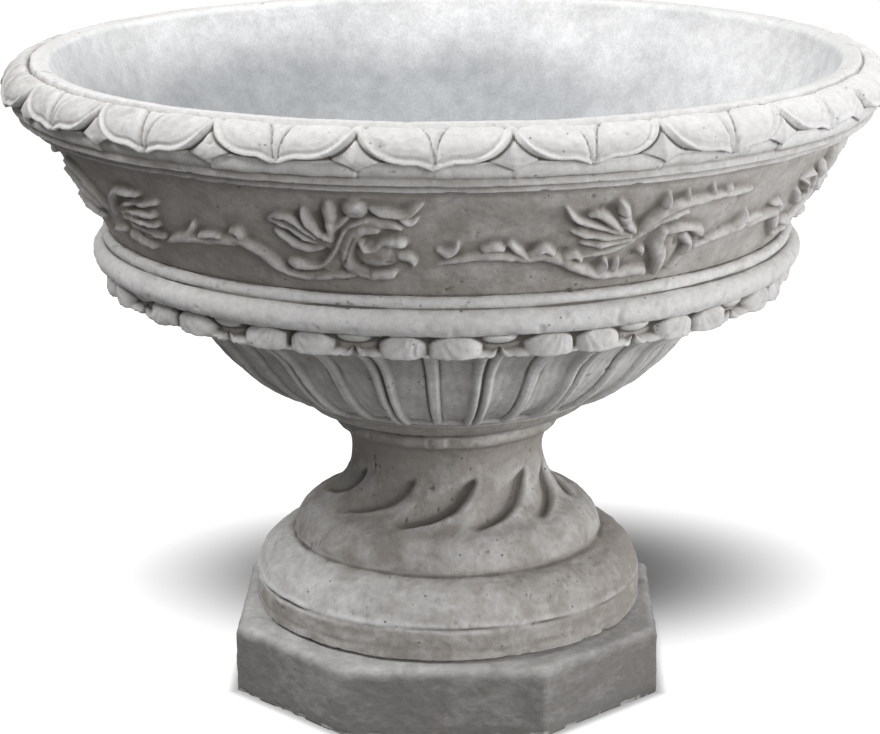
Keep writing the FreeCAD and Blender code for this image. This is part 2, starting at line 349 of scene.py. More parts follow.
# ---------------------------------------------------------------- scroll on the wall
# Strokes as (degrees from the front, up the wall, half width, height), in millimetres.
SCROLL_ONE = (
    ((-45.8, 35, 1.7, 3), (-43.1, 42, 4.2, 5), (-40.5, 47, 5.4, 6), (-38.5, 50, 5.4, 6.4),
     (-36.1, 49, 5.2, 6), (-33.8, 51, 4.4, 6), (-31.5, 53, 5.9, 6.4), (-29.7, 55, 6.2, 6.8),
     (-28.7, 51, 5.2, 6.4), (-26.6, 41, 6.2, 6.5), (-25.2, 33, 5.7, 6), (-24.2, 26, 3.7, 4.8),
     (-23.1, 22, 3, 4.2), (-20.1, 20, 4, 4.4), (-16.6, 23, 4, 4.4), (-13.9, 25, 3.5, 3.8),
     (-12.1, 27, 2, 2.4)),
    ((-39, 53, 3.2, 6.4), (-37.8, 60, 2.5, 6.4), (-37.5, 65, 1, 5)),
    ((-36.8, 55, 1.5, 7), (-34.9, 57, 1.7, 7.6), (-33.1, 56, 1.7, 7.4)),
    ((-30.7, 64, 2.5, 6.6), (-29.5, 65, 3.2, 7.4), (-29.1, 60, 3.2, 7.2)),
    ((-23.2, 34, 1.5, 3), (-22.2, 35, 4.9, 6.2), (-21.1, 34, 5.4, 6.8), (-19.8, 32, 3.7, 5.8),
     (-18.3, 33, 2.5, 4.8)),
    ((-17, 32, 7.4, 2.2), (-14.9, 48, 7.4, 2.4), (-13.6, 63, 6.2, 2.4), (-12.3, 75, 5.6, 2.4)),
    ((-16.3, 60, 8.2, 3.6), (-17.7, 65, 8.7, 3.8), (-19.6, 70, 7.2, 3.8), (-21.7, 77, 4.9, 3.4)),
    ((-17.7, 67, 2.5, 6), (-18.5, 72, 2.7, 6.5), (-19.8, 80, 2.7, 7), (-20.8, 84, 2.5, 7),
     (-22.2, 86, 2.2, 6.5), (-23.4, 84, 1.6, 5.6), (-24.3, 81, 0.9, 4)),
    ((-17.9, 60, 2.2, 5.2), (-19.4, 66, 2.5, 6), (-20.9, 73, 2.5, 6), (-22.5, 77, 2.1, 5.4),
     (-24.2, 81, 1, 4)),
    ((-17.4, 54, 3.7, 4.2), (-19.2, 53, 5.2, 5), (-21, 57, 5.2, 5.4), (-22.4, 63, 4.4, 5),
     (-23.6, 69, 2, 3.6)),
    ((-16.6, 68, 3.5, 6.2), (-17.4, 74, 4.2, 7), (-18, 81, 4.6, 7.5), (-18.5, 87, 4.2, 7.5),
     (-18.8, 93, 2.2, 6)),
    ((-15.6, 67, 3.5, 6.2), (-15.3, 77, 4.4, 6.8), (-15.1, 88, 5.7, 7.2), (-15.1, 95, 5.9, 7.2),
     (-15.1, 100, 3.7, 6)),
    ((-15, 75, 3, 5.2), (-14, 81, 3, 5.5), (-13, 87, 2.1, 5), (-12.5, 90, 1, 4)),
    ((-16.2, 69, 3.7, 7.8), (-15.6, 65, 3.2, 6.5)),
    ((-11.8, 97, 9.6, 7), (-11.6, 97, 9.6, 7)),
    ((-9.5, 98, 2, 5), (-8.4, 96, 4.2, 7), (-7.2, 95, 4.7, 7.2), (-5.8, 93, 4.2, 7.2),
     (-4.8, 94, 3.7, 7), (-3.9, 99, 3, 6.5), (-3, 103, 0.9, 4)),
    ((-5.8, 90, 3.7, 6), (-5.1, 85, 3.7, 6.5), (-4.3, 85, 2.5, 6), (-3.7, 88, 0.9, 4)),
    ((-11.2, 82, 3.7, 4), (-9.7, 84, 5.2, 4.4), (-8.1, 82, 6.2, 4.6), (-6.7, 80, 4.7, 4.6),
     (-6, 76, 1.7, 3)),
    ((-9.4, 76, 4.9, 5.4), (-11.4, 74, 5.9, 5.8), (-12.8, 65, 6.2, 5.6), (-13.8, 52, 6.2, 5.2),
     (-14, 39, 6.2, 5), (-13.3, 31, 5.4, 5), (-11.7, 27, 4.2, 5), (-10.3, 24, 3.2, 5)),
    ((-10.2, 49, 13.6, 5.4), (-8.6, 50, 13.6, 5.4)),
    ((-11.5, 62, 3.2, 7), (-10.9, 56, 3.5, 7.4), (-9.9, 56, 3.2, 7), (-8.6, 63, 3.2, 7),
     (-7.4, 65, 3.5, 7.2)),
    ((-7.6, 62, 4.9, 6.8), (-6.3, 63, 5.2, 7.4), (-5.6, 61, 2.2, 5.5)),
    ((-6.3, 50, 4.4, 6.8), (-5.1, 48, 5.2, 7.4), (-4.5, 43, 3.2, 6.8), (-4.8, 36, 1.5, 5)),
    ((-10.4, 28, 3.7, 6.4), (-9, 29, 5.2, 7.4), (-7.8, 30, 4, 6.8), (-7.2, 31, 1.2, 5)),
)
SCROLL_ONE_RISER = (
    ((-18.9, 32, 2.5, 4.6), (-17.6, 36, 2.3, 5.6), (-16.5, 43, 2.3, 6.2), (-15.3, 54, 2.2, 6.6),
     (-14.4, 65, 2.1, 6.6), (-13.7, 73, 1.9, 6.6), (-12.7, 79, 1.7, 6.2), (-11.5, 83, 1.6, 6),
     (-10.3, 86, 1.5, 5.4)),
)
SCROLL_ONE_CUTS = (
    ((-11, 61, 1.5, 0), (-9.9, 65, 2, 0), (-8.7, 68, 1.7, 0), (-6.9, 69, 1, 0)),
    ((-8.2, 43, 2.6, 1.5), (-7.6, 41, 3.2, 1)),
    ((-6.8, 38, 2.2, 1), (-6.1, 32, 2.7, 0)),
    ((-6, 57, 1.2, 1), (-5, 57, 2, 0)),
    ((-15.9, 31, 1.2, 1.4), (-14.4, 40, 1.3, 1.6), (-13.4, 55, 1.3, 2), (-12.4, 68, 1.2, 2)),
    ((-16.6, 78, 0.9, 1), (-16.5, 84, 1.2, 0.4), (-16.8, 90, 1.4, 0)),
)
SCROLL_TWO = (
    ((-1.1, 55, 2.7, 4.2), (0.1, 52, 4.6, 5.7), (1.2, 56, 3.3, 5.7), (1.5, 62, 1.2, 4)),
    ((-1.4, 38, 1, 2), (0.3, 42, 1.8, 3.6), (2, 45, 2.7, 4.6), (4.2, 48, 4.6, 5.6),
     (6.6, 50, 6.3, 6.2), (8.1, 48, 5.5, 6), (10.8, 46, 5.7, 6.5), (13.7, 46, 6.3, 6.6),
     (16.5, 39, 6, 6.6), (19.2, 30, 5.7, 6.6), (22, 23, 5.5, 6.6), (25, 20, 5.5, 6.6),
     (28, 21, 6, 6.6), (29.8, 20, 5.6, 6.4)),
    ((5, 56, 3, 5.4), (6.5, 59, 4.1, 6.6), (7.6, 57, 3, 6)),
    ((8.7, 60, 3.3, 6.4), (9.5, 55, 3.8, 7.2), (10.8, 49, 3.3, 7.4)),
    ((11.7, 50, 2.7, 7.2), (13.3, 55, 3.8, 7.4), (14.6, 50, 3.3, 7)),
    ((16.7, 44, 3.6, 6.8), (18, 46, 3, 6.6), (19, 40, 2.7, 6.6)),
    ((19.2, 41, 1.2, 3.8), (20.8, 43, 1.6, 4.4), (22.7, 45, 1.8, 4.8), (24.7, 49, 1.8, 5.2),
     (26.1, 54, 1.6, 5.4), (27.3, 60, 1.5, 5.4)),
    ((22.3, 26, 3.6, 7.2), (23.2, 31, 2.5, 7.6), (22.9, 37, 1, 6)),
    ((24.9, 26, 3.3, 7), (25.1, 34, 1.9, 6.6)),
    ((25.6, 65, 7.9, 3.6), (22.9, 65, 8.2, 3.8), (20.2, 67, 7.1, 3.8), (18.2, 70, 4.9, 3.4)),
    ((25, 64, 2.5, 5.2), (22.7, 69, 3.3, 6), (20.5, 75, 3.8, 6.5), (18.4, 80, 3.8, 7),
     (17, 84, 3, 7), (16.1, 90, 1.8, 6.4), (15.5, 96, 0.7, 5)),
    ((25.8, 61, 2, 5.2), (23.6, 62, 3, 6), (20.9, 64, 3.8, 6.5), (18.9, 66, 3.4, 6),
     (16.9, 70, 1.1, 4)),
    ((26, 57, 1.8, 5), (24, 55, 3, 5.6), (21.9, 55, 3.6, 6), (20.3, 55, 2.7, 5.6),
     (18.7, 57, 1.1, 4)),
    ((23.8, 69, 3.6, 6.2), (22.3, 78, 4.6, 7), (21, 85, 4.6, 7.2), (19.8, 88, 3.6, 6.6),
     (18.9, 86, 1.4, 5)),
    ((25.9, 67, 3.6, 6.2), (24.6, 75, 5.2, 7.2), (23.8, 86, 5.7, 7.5), (23.4, 93, 4.1, 7),
     (22.8, 99, 1.2, 5)),
    ((26, 54, 2, 4.4), (27.7, 68, 4.7, 5.8), (29.1, 78, 6.9, 6.8), (30.7, 85, 7.2, 7),
     (32.7, 89, 6.2, 6.8), (34.9, 90, 4.7, 6.4), (37.6, 91, 3.7, 5.8), (40.4, 91, 3.4, 5.4),
     (42.9, 90, 3.1, 5.4), (45.5, 90, 1.2, 4)),
    ((29.9, 90, 3.7, 7), (30, 96, 2.3, 6.4), (29.8, 102, 0.8, 5)),
    ((32.8, 90, 3.1, 6.6), (33.1, 95, 2.2, 6.2), (33, 101, 0.8, 5)),
    ((37.7, 92, 2.2, 5.6), (37.6, 97, 1.6, 5.4), (37.2, 103, 0.8, 4)),
    ((40.1, 91, 2.5, 5.6), (40.2, 97, 1.9, 5.4), (41, 97, 0.9, 4)),
    ((26, 51, 1.2, 4.6), (27.6, 61, 1.4, 5.4), (29.6, 69, 1.4, 5.6), (31.8, 75, 1.4, 5.4),
     (34.4, 78, 1.2, 4.2)),
    ((33.1, 48, 14.1, 3.2), (33.5, 34, 12.5, 3), (33.3, 21, 7.8, 2.4)),
    ((28.5, 42, 4.1, 5.4), (28.7, 39, 3.1, 5.2)),
    ((31.3, 59, 5.3, 6.2), (30.9, 48, 7.8, 7.4), (32.1, 34, 7.2, 7.4), (32.4, 22, 4.7, 6.2),
     (32.7, 13, 2.2, 4)),
    ((32.3, 60, 4.1, 6.4), (33.7, 62, 4.1, 6.8), (35.8, 60, 3.7, 6.8), (37.7, 55, 5.6, 7.2),
     (38.6, 50, 3.1, 6)),
    ((35.2, 52, 5, 6.8), (36.7, 44, 4.4, 7), (36.8, 36, 3.7, 6.4), (36.1, 25, 2.8, 5.6),
     (35, 17, 1.9, 4)),
)
SCROLL_TWO_CUTS = (
    ((27, 48, 2.6, 0), (28.6, 35, 1.8, 0), (30.2, 31, 1.6, 0), (30.6, 23, 1.8, 0),
     (31.1, 16, 1.4, 0)),
    ((33.7, 52, 3.4, 1.6), (34.3, 42, 2.8, 1.2)),
    ((41.2, 40, 2.6, -1.5), (41.7, 39, 2.0, -1.5)),
    ((24.7, 84, 0.5, 2), (22.5, 86, 1.3, 0), (22.0, 93, 1.6, 0)),
)
SCROLL_THREE = (
    ((-55, 60, 6.2, 3.6), (-51.5, 56, 8.5, 4.0), (-49, 60, 8.0, 4.0)),
    ((-57, 52, 3, 4), (-55.5, 66, 3.6, 5.6), (-53, 80, 3.6, 6.4), (-50, 86, 3.4, 6.6),
     (-46.5, 86, 2.2, 5.6)),
    ((-53, 66, 2.4, 5), (-49, 75, 3.2, 6), (-46.3, 76, 3.2, 6.6), (-43.4, 80, 2.5, 6)),
    ((-53, 60, 2.5, 5), (-48.4, 66, 4.2, 6.6), (-45.4, 66, 4.2, 7)),
    ((-53.5, 54, 2.5, 5), (-49, 56, 3.4, 6.2), (-45.6, 55, 3.2, 6.8)),
    ((-52, 48, 3.2, 5), (-48.5, 45, 4.0, 6.4), (-45.6, 42, 3.0, 6)),
    ((-52.8, 57, 6.2, 4.4), (-51.5, 48, 6.9, 4.6), (-49.7, 40, 6.2, 4.4)),
    ((-55.2, 31, 4.9, 5), (-51.6, 31, 5.7, 6.4), (-49.4, 28, 3.7, 6)),
    ((-60.8, 31, 3, 5), (-56.2, 37, 3, 5)),
    ((-59, 56, 4, 4), (-61, 72, 4.5, 5.6), (-63.5, 88, 4, 6), (-66, 98, 2.5, 5)),
    ((-63, 52, 3.5, 4.5), (-66, 66, 4.2, 5.8), (-69.5, 76, 3.2, 5.5), (-73, 80, 2, 5)),
    ((-64, 40, 3.5, 4.5), (-69, 46, 4.2, 5.8), (-74, 52, 3.2, 5)),
)
# Each carving: the place it was drawn at, its ridges, its cuts, and ridges over the cuts.
CARVINGS = {
    1: (0.0, SCROLL_ONE, SCROLL_ONE_CUTS, SCROLL_ONE_RISER),
    2: (43.0, SCROLL_TWO, SCROLL_TWO_CUTS, ()),
    3: (0.0, SCROLL_THREE, (), ()),
}
# Where each repeat stands, in degrees from the front, and which carving it has.
SCROLL_PLACES = ((0.0, 1), (43.0, 2), (84.5, 1), (123.5, 2), (162.5, 1), (201.5, 2), (240.5, 1),
                 (279.5, 2), (360.0, 3))
SCROLL_RADIUS = 332.0  # of the wall at the scroll's middle
SCROLL_DRAWN = 7.6  # highest stroke as drawn
GAP_WIDTH = 2.6  # of the gaps that the worn mould half fills
GAP_FILL = 0.78


def scroll_heights(up, turns, relief):
    """The vine scroll over the sloping wall."""
    wall = Wall(up, turns, SCROLL_RADIUS)
    scale = relief / SCROLL_DRAWN
    for place, kind in SCROLL_PLACES:
        home, ridges, cuts, late_ridges = CARVINGS[kind]
        turn = place - home + FRONT
        for strokes, cut in ((ridges, False), (cuts, True), (late_ridges, False)):
            for points in strokes:
                wall.stroke(points, turn, scale, cut)
    # The mould was worn: narrow gaps are half filled and the tops are uneven.
    step = up[1] - up[0]
    turn_step = math.radians(turns[1] - turns[0]) * wall.radius
    filled = blurred(np.clip(wall.height, 0, None), GAP_WIDTH / step, GAP_WIDTH / turn_step)
    height = rise_over(wall.height, GAP_FILL * filled, 1.6)
    spot = unrolled(wall.radius, up, turns)
    worn = 1 + 0.16 * lumps(spot, 13.0, SEED + 21) + 0.10 * lumps(spot, 5.0, SEED + 22)
    flat = 0.9 * np.clip(lumps(spot, 9.0, SEED + 23) - 0.1, 0, 1) * ease(3.5, 6.5, height)
    return blurred(height * worn - flat * 2.2, 0.4 / step, 0.4 / turn_step)


# ---------------------------------------------------------------- leaves on the rim
LEAF_FIRST = -1.3 + FRONT  # where a leaf's middle stands
LEAF_PITCH = 18.0  # degrees of one leaf as it was drawn
LEAF_MM = 6.9  # millimetres along the rim in one drawn degree
LOBE_MIDDLE = 3.4  # of a leaf's lobe, in drawn degrees from the leaf's middle
LOBE_HALF = 5.6
LOBE_LENGTH = 39.0
LEAF_APART = 97.0  # between the places where two leaves read their noise


def lobe_edge():
    """Edge of a leaf's lobe from the tip round to the crease: drawn degrees and millimetres down."""
    turn = np.linspace(0, 1, 26)[1:] * math.pi / 2
    wide = np.concatenate([np.linspace(0, LOBE_MIDDLE, 12), LOBE_MIDDLE + LOBE_HALF * np.sin(turn)])
    down = 3 + LOBE_LENGTH * dome(np.clip(wide - LOBE_MIDDLE, 0, None) / LOBE_HALF)
    return wide, down + 7.5 * np.clip(1 - wide / 2.4, 0, 1) ** 1.3


def distance_to(line_x, line_y, x, y):
    """Distance from points to a line through corners."""
    near = np.full(y.shape, 1e9)
    for k in range(len(line_x) - 1):
        dx, dy = line_x[k + 1] - line_x[k], line_y[k + 1] - line_y[k]
        t = np.clip(((x - line_x[k]) * dx + (y - line_y[k]) * dy) / (dx * dx + dy * dy), 0, 1)
        near = np.minimum(near, np.hypot(x - line_x[k] - t * dx, y - line_y[k] - t * dy))
    return near


def leaf_heights(down, turns, count, depth):
    """Leaves over the rolled rim; down is the distance outwards from the crease at the lip."""
    pitch = 360.0 / count
    half_pitch = LEAF_PITCH / 2
    number = np.round((turns - LEAF_FIRST) / pitch)
    across = (turns - LEAF_FIRST - number * pitch) / pitch * LEAF_PITCH
    sway = 0.35 * np.sin(number * 2.4 + 0.7)
    stretch = 1.0 + 0.04 * np.sin(number * 3.9)
    s = down[:, None] / stretch[None, :]
    x = (across + sway * np.clip(1 - np.abs(across) / half_pitch, 0, 1))[None, :] + 0.0 * s
    wide = np.abs(x)
    aside = wide * LEAF_MM
    edge_wide, edge_down = lobe_edge()
    near = distance_to(edge_wide * LEAF_MM, edge_down, aside, s)
    within = np.where(s < np.interp(wide, edge_wide, edge_down), near, -near)
    spot = np.stack([x * LEAF_MM + number[None, :] * LEAF_APART, s, 0 * s], -1)
    wave = lumps(spot, 11.0, SEED + 31)
    # The leaf's face: a line and a shallow trough follow its edge, and faint veins cross it.
    face = -0.2 - 2.5 * bell(within - 5.4, 2.0) - 0.6 * bell(within - 9.5, 3)
    vein = np.cos((s * 0.75 + aside * 0.9) * 0.55 + 3.0 * wave + number[None, :])
    face = face + (0.16 * vein + 0.5 * wave) * ease(6, 11, within)
    # Raised wedge down the middle, with a cut on each side.
    wedge = np.interp(s, [2, 8, 14, 22, 30, 41, 47, 52], [13, 9.6, 7, 5, 3.6, 2.1, 0.9, 0.2])
    beside = aside - wedge
    face = np.where(beside < 0, -1.2 - 0.5 * bell(aside, 2.5), face)
    face = face - 3.8 * bell(beside, 1.75) * ease(53, 44, s)
    # Pads of the ground, then pointed leaves with a ridge between two neighbours.
    ground = -depth * ease(64, 50, s) * (1 - 0.16 * ease(7.0, 3.0, wide)) + 0.5 * wave
    side = (half_pitch - wide) * LEAF_MM
    point = np.interp(s, [2, 10, 39, 43, 52, 55], [2.0, 5.0, 19.5, 17.0, 2.2, 0.0])
    inner = (point - side) * 0.75
    behind = -2.9 - 3.6 * np.clip(side / 17.0, 0, 1) ** 0.8
    behind = ground + (behind - ground) * ease(-0.9, 0.6, inner)
    behind = behind - 1.7 * bell(inner + 0.9, 0.95) * ease(60, 54, s)
    low = behind - 2.6 * bell(within + 2.0, 1.7)
    height = low + (face - low) * ease(-1.1, 0.5, within)
    crease = 4.2 * bell(down - 0.5, 1.7) + 0.8 * bell(down - 3, 3)
    return height * ease(-1.5, 3.0, down)[:, None] - crease[:, None]


# ---------------------------------------------------------------- petals on the cup
PETAL_FIRST = -3.2 + FRONT  # where a petal's middle stands
PETAL_PITCH = 22.5  # degrees of one petal as it was drawn
PETAL_HALF = PETAL_PITCH / 2
PETAL_MM = 5.45  # millimetres round the brim in one drawn degree
ARCH_MIDDLE = 5.0  # of a panel's round head
ARCH_RISE = 15.0
RIB_SIDE = 1.45  # of the petal's middle rib
CUT_WIDTH = 0.36
BRIM_SUNK = 9.0  # ground of the brim below the lobes' feet


def cup_heights(x, up, top, number, depth):
    """A flat middle rib, two sunk panels, a rib at each side and a cut between neighbours."""
    wide = np.abs(x)
    arch = top - ARCH_RISE + ARCH_RISE * dome((wide - ARCH_MIDDLE) / 4.1)
    panel = ease(1.05, 1.75, wide) * ease(9.3, 8.5, wide)
    panel = panel * ease(0, 4, arch - up) * ease(13, 17, up - 0.5 * np.sin(number * 5 + x))
    sunk = 0.72 + 0.28 * np.sin(np.clip((wide - 1.2) / 7.8, 0, 1) * math.pi)
    fold = 0.35 * np.sin(up * 0.11 + wide * 1.1 + number * 1.9) * np.sin(wide * 1.6)
    height = -depth * panel * sunk + fold * panel
    height = height - ease(1.6, 0.9, wide) * ease(9, 15, up)
    height = height - 3.2 * bell(x + RIB_SIDE, CUT_WIDTH) * ease(14, 24, up)
    height = height - 1.8 * bell(x - RIB_SIDE, CUT_WIDTH) * ease(14, 24, up)
    height = height - 5.6 * bell(PETAL_HALF - wide, 0.46) * ease(12, 24, up)
    height = height - 1.2 * ease(8.6, 9.0, wide) * ease(9.6, 9.2, wide) * ease(30, 60, up)
    return height - 1.6 * ease(15, 11, up) * ease(0, 3, up)


def hanging_heights(x, over, ledge, shut, number):
    """Pairs of curled lobes that hang from the ledge, and a round tip between two pairs."""
    wide = np.abs(x)
    hand = np.sign(x)
    shift = 0.55 * hand + hand * 0.2 * np.sin(number * 2.3)
    along = (wide - 3.95 - shift) / (4.0 + 0.25 * np.sin(number * 3.1 + hand * 2))
    size = np.clip(1 - np.abs(along) ** 3.4, 0, 1) ** 0.55
    foot_line = 0.6 + 0.9 * np.abs(along) ** 6
    lobe = 12.9 * size * ease(foot_line - 0.9, foot_line + 1.6, over)
    shoulder = ledge + 3.0 - 9.5 * np.abs(along) ** 2.4
    lobe = lobe * (1 - 0.22 * ((over - 6) / ledge) ** 2) * shut
    lobe = lobe * (0.35 + 0.65 * ease(shoulder + 1.5, shoulder - 5.0, over))
    fan = np.arctan2(hand * (wide - 1.2) * 5.4, ledge + 5 - over)
    streak = np.sin(fan * 19 + number * 1.3) * ease(3, 9, lobe) * ease(ledge, ledge - 4, over)
    lobe = lobe + 0.26 * streak
    aside = (PETAL_HALF - wide) * PETAL_MM
    tip = np.clip(1 - (aside / 17.0) ** 2 - ((over - ledge - 0.5) / 8.5) ** 2, 0, 1)
    tip = 12.4 * np.sqrt(tip) * shut
    return np.maximum(lobe, tip) * ease(-1.6, 0.4, over) - BRIM_SUNK * shut


def petal_heights(outline, s, turns, count, depth):
    """Petals of the cup and the curled lobes over them; s is the distance along the outline."""
    at = outline.at
    pitch = 360.0 / count
    number = np.round((turns - PETAL_FIRST) / pitch)
    x = ((turns - PETAL_FIRST - number * pitch) / pitch * PETAL_PITCH)[None, :]
    number = number[None, :]
    height = cup_heights(x, (s - at["cup"])[:, None], at["brim"] - at["cup"], number, depth)
    # The brim's ground is sunk, so that the lobes stand free of the petals under them.
    over = (s - at["brim"])[:, None] + 0 * x
    ledge = at["ledge"] - at["brim"]
    shut = ease(ledge + 0.2, ledge - 1.4, over)
    crown = ARCH_RISE * dome((np.abs(x) - ARCH_MIDDLE) / 6.3) - 11
    brim = ease(crown, crown + 6, over)
    height = height * (1 - brim) - BRIM_SUNK * brim * shut
    hung = hanging_heights(x, over, ledge, shut, number)
    return np.where(over > -6, np.maximum(height, hung), height)


TORUS_RADIUS = 300  # for the noise along the torus


def torus_heights(outline, s, turns):
    """Cracked joints above and below the bead, and marks of the mould on the torus."""
    at = outline.at
    spot = unrolled(TORUS_RADIUS, s, turns)
    total = 0.0 * spot[..., 0]
    broken = np.clip(0.55 + 1.1 * lumps(spot, 34.0, SEED + 41), 0.1, 1.3)
    for place, depth in ((at["bead"] + 0.5, 1.9), (at["wall"] - 0.3, 1.3)):
        way = s[:, None] - place + 0.5 * lumps(spot, 14.0, SEED + 42)
        total = total - depth * broken * bell(way, 0.8)
    return total - 0.5 * np.clip(lumps(spot * (1, 1, 3), 26.0, SEED + 43) - 0.3, 0, 1)


# ---------------------------------------------------------------- meshes
def zipper(first, second, start_one, start_two):
    """Triangles and quads between two closed rings with any numbers of points."""
    if first == second:
        here = np.arange(first)
        there = (here + 1) % first
        quads = np.stack([start_one + here, start_one + there, start_two + there,
                          start_two + here], 1)
        return quads, np.zeros((0, 3), int)
    one = (np.arange(first) + 1) / first
    two = (np.arange(second) + 1) / second + 1e-9
    order = np.argsort(np.concatenate([one, two]), kind="stable")
    step_one = order < first
    i = np.cumsum(step_one) - step_one
    j = np.cumsum(~step_one) - ~step_one
    a, a_next = start_one + i % first, start_one + (i + 1) % first
    b, b_next = start_two + j % second, start_two + (j + 1) % second
    third = np.where(step_one, a_next, b_next)
    return np.zeros((0, 4), int), np.stack([a, third, b], 1)


def make_mesh(name, points, quads, triangles, values):
    """A smooth mesh object in metres with its float attributes."""
    mesh = bpy.data.meshes.new(name)
    corners = np.concatenate([quads.ravel(), triangles.ravel()])
    sizes = np.concatenate([np.full(len(quads), 4), np.full(len(triangles), 3)])
    mesh.vertices.add(len(points))
    mesh.vertices.foreach_set("co", (points * MM).astype(np.float32).ravel())
    mesh.loops.add(len(corners))
    mesh.loops.foreach_set("vertex_index", corners.astype(np.int32))
    mesh.polygons.add(len(sizes))
    starts = np.concatenate([[0], np.cumsum(sizes)[:-1]])
    mesh.polygons.foreach_set("loop_start", starts.astype(np.int32))
    mesh.update(calc_edges=True)
    mesh.validate()
    mesh.shade_smooth()
    for label, data in values.items():
        layer = mesh.attributes.new(label, "FLOAT", "POINT")
        layer.data.foreach_set("value", data.astype(np.float32))
    piece = bpy.data.objects.new(name, mesh)
    bpy.context.scene.collection.objects.link(piece)
    return piece


def blurred(field, row_sigma, column_sigma):
    """Field smoothed over rows, which end, and columns, which go round."""
    reach = max(1, int(3 * row_sigma))
    kernel = np.exp(-0.5 * (np.arange(-reach, reach + 1) / row_sigma) ** 2)
    kernel /= kernel.sum()
    padded = np.concatenate([np.repeat(field[:1], reach, 0), field, np.repeat(field[-1:], reach, 0)])
    out = sum(kernel[k] * padded[k:k + len(field)] for k in range(2 * reach + 1))
    waves = np.fft.rfftfreq(field.shape[1])
    gain = np.exp(-2 * (math.pi * waves * column_sigma) ** 2)
    return np.fft.irfft(np.fft.rfft(out, axis=1) * gain, field.shape[1], axis=1)


HOLE_POINTS = 40  # round a dowel hole


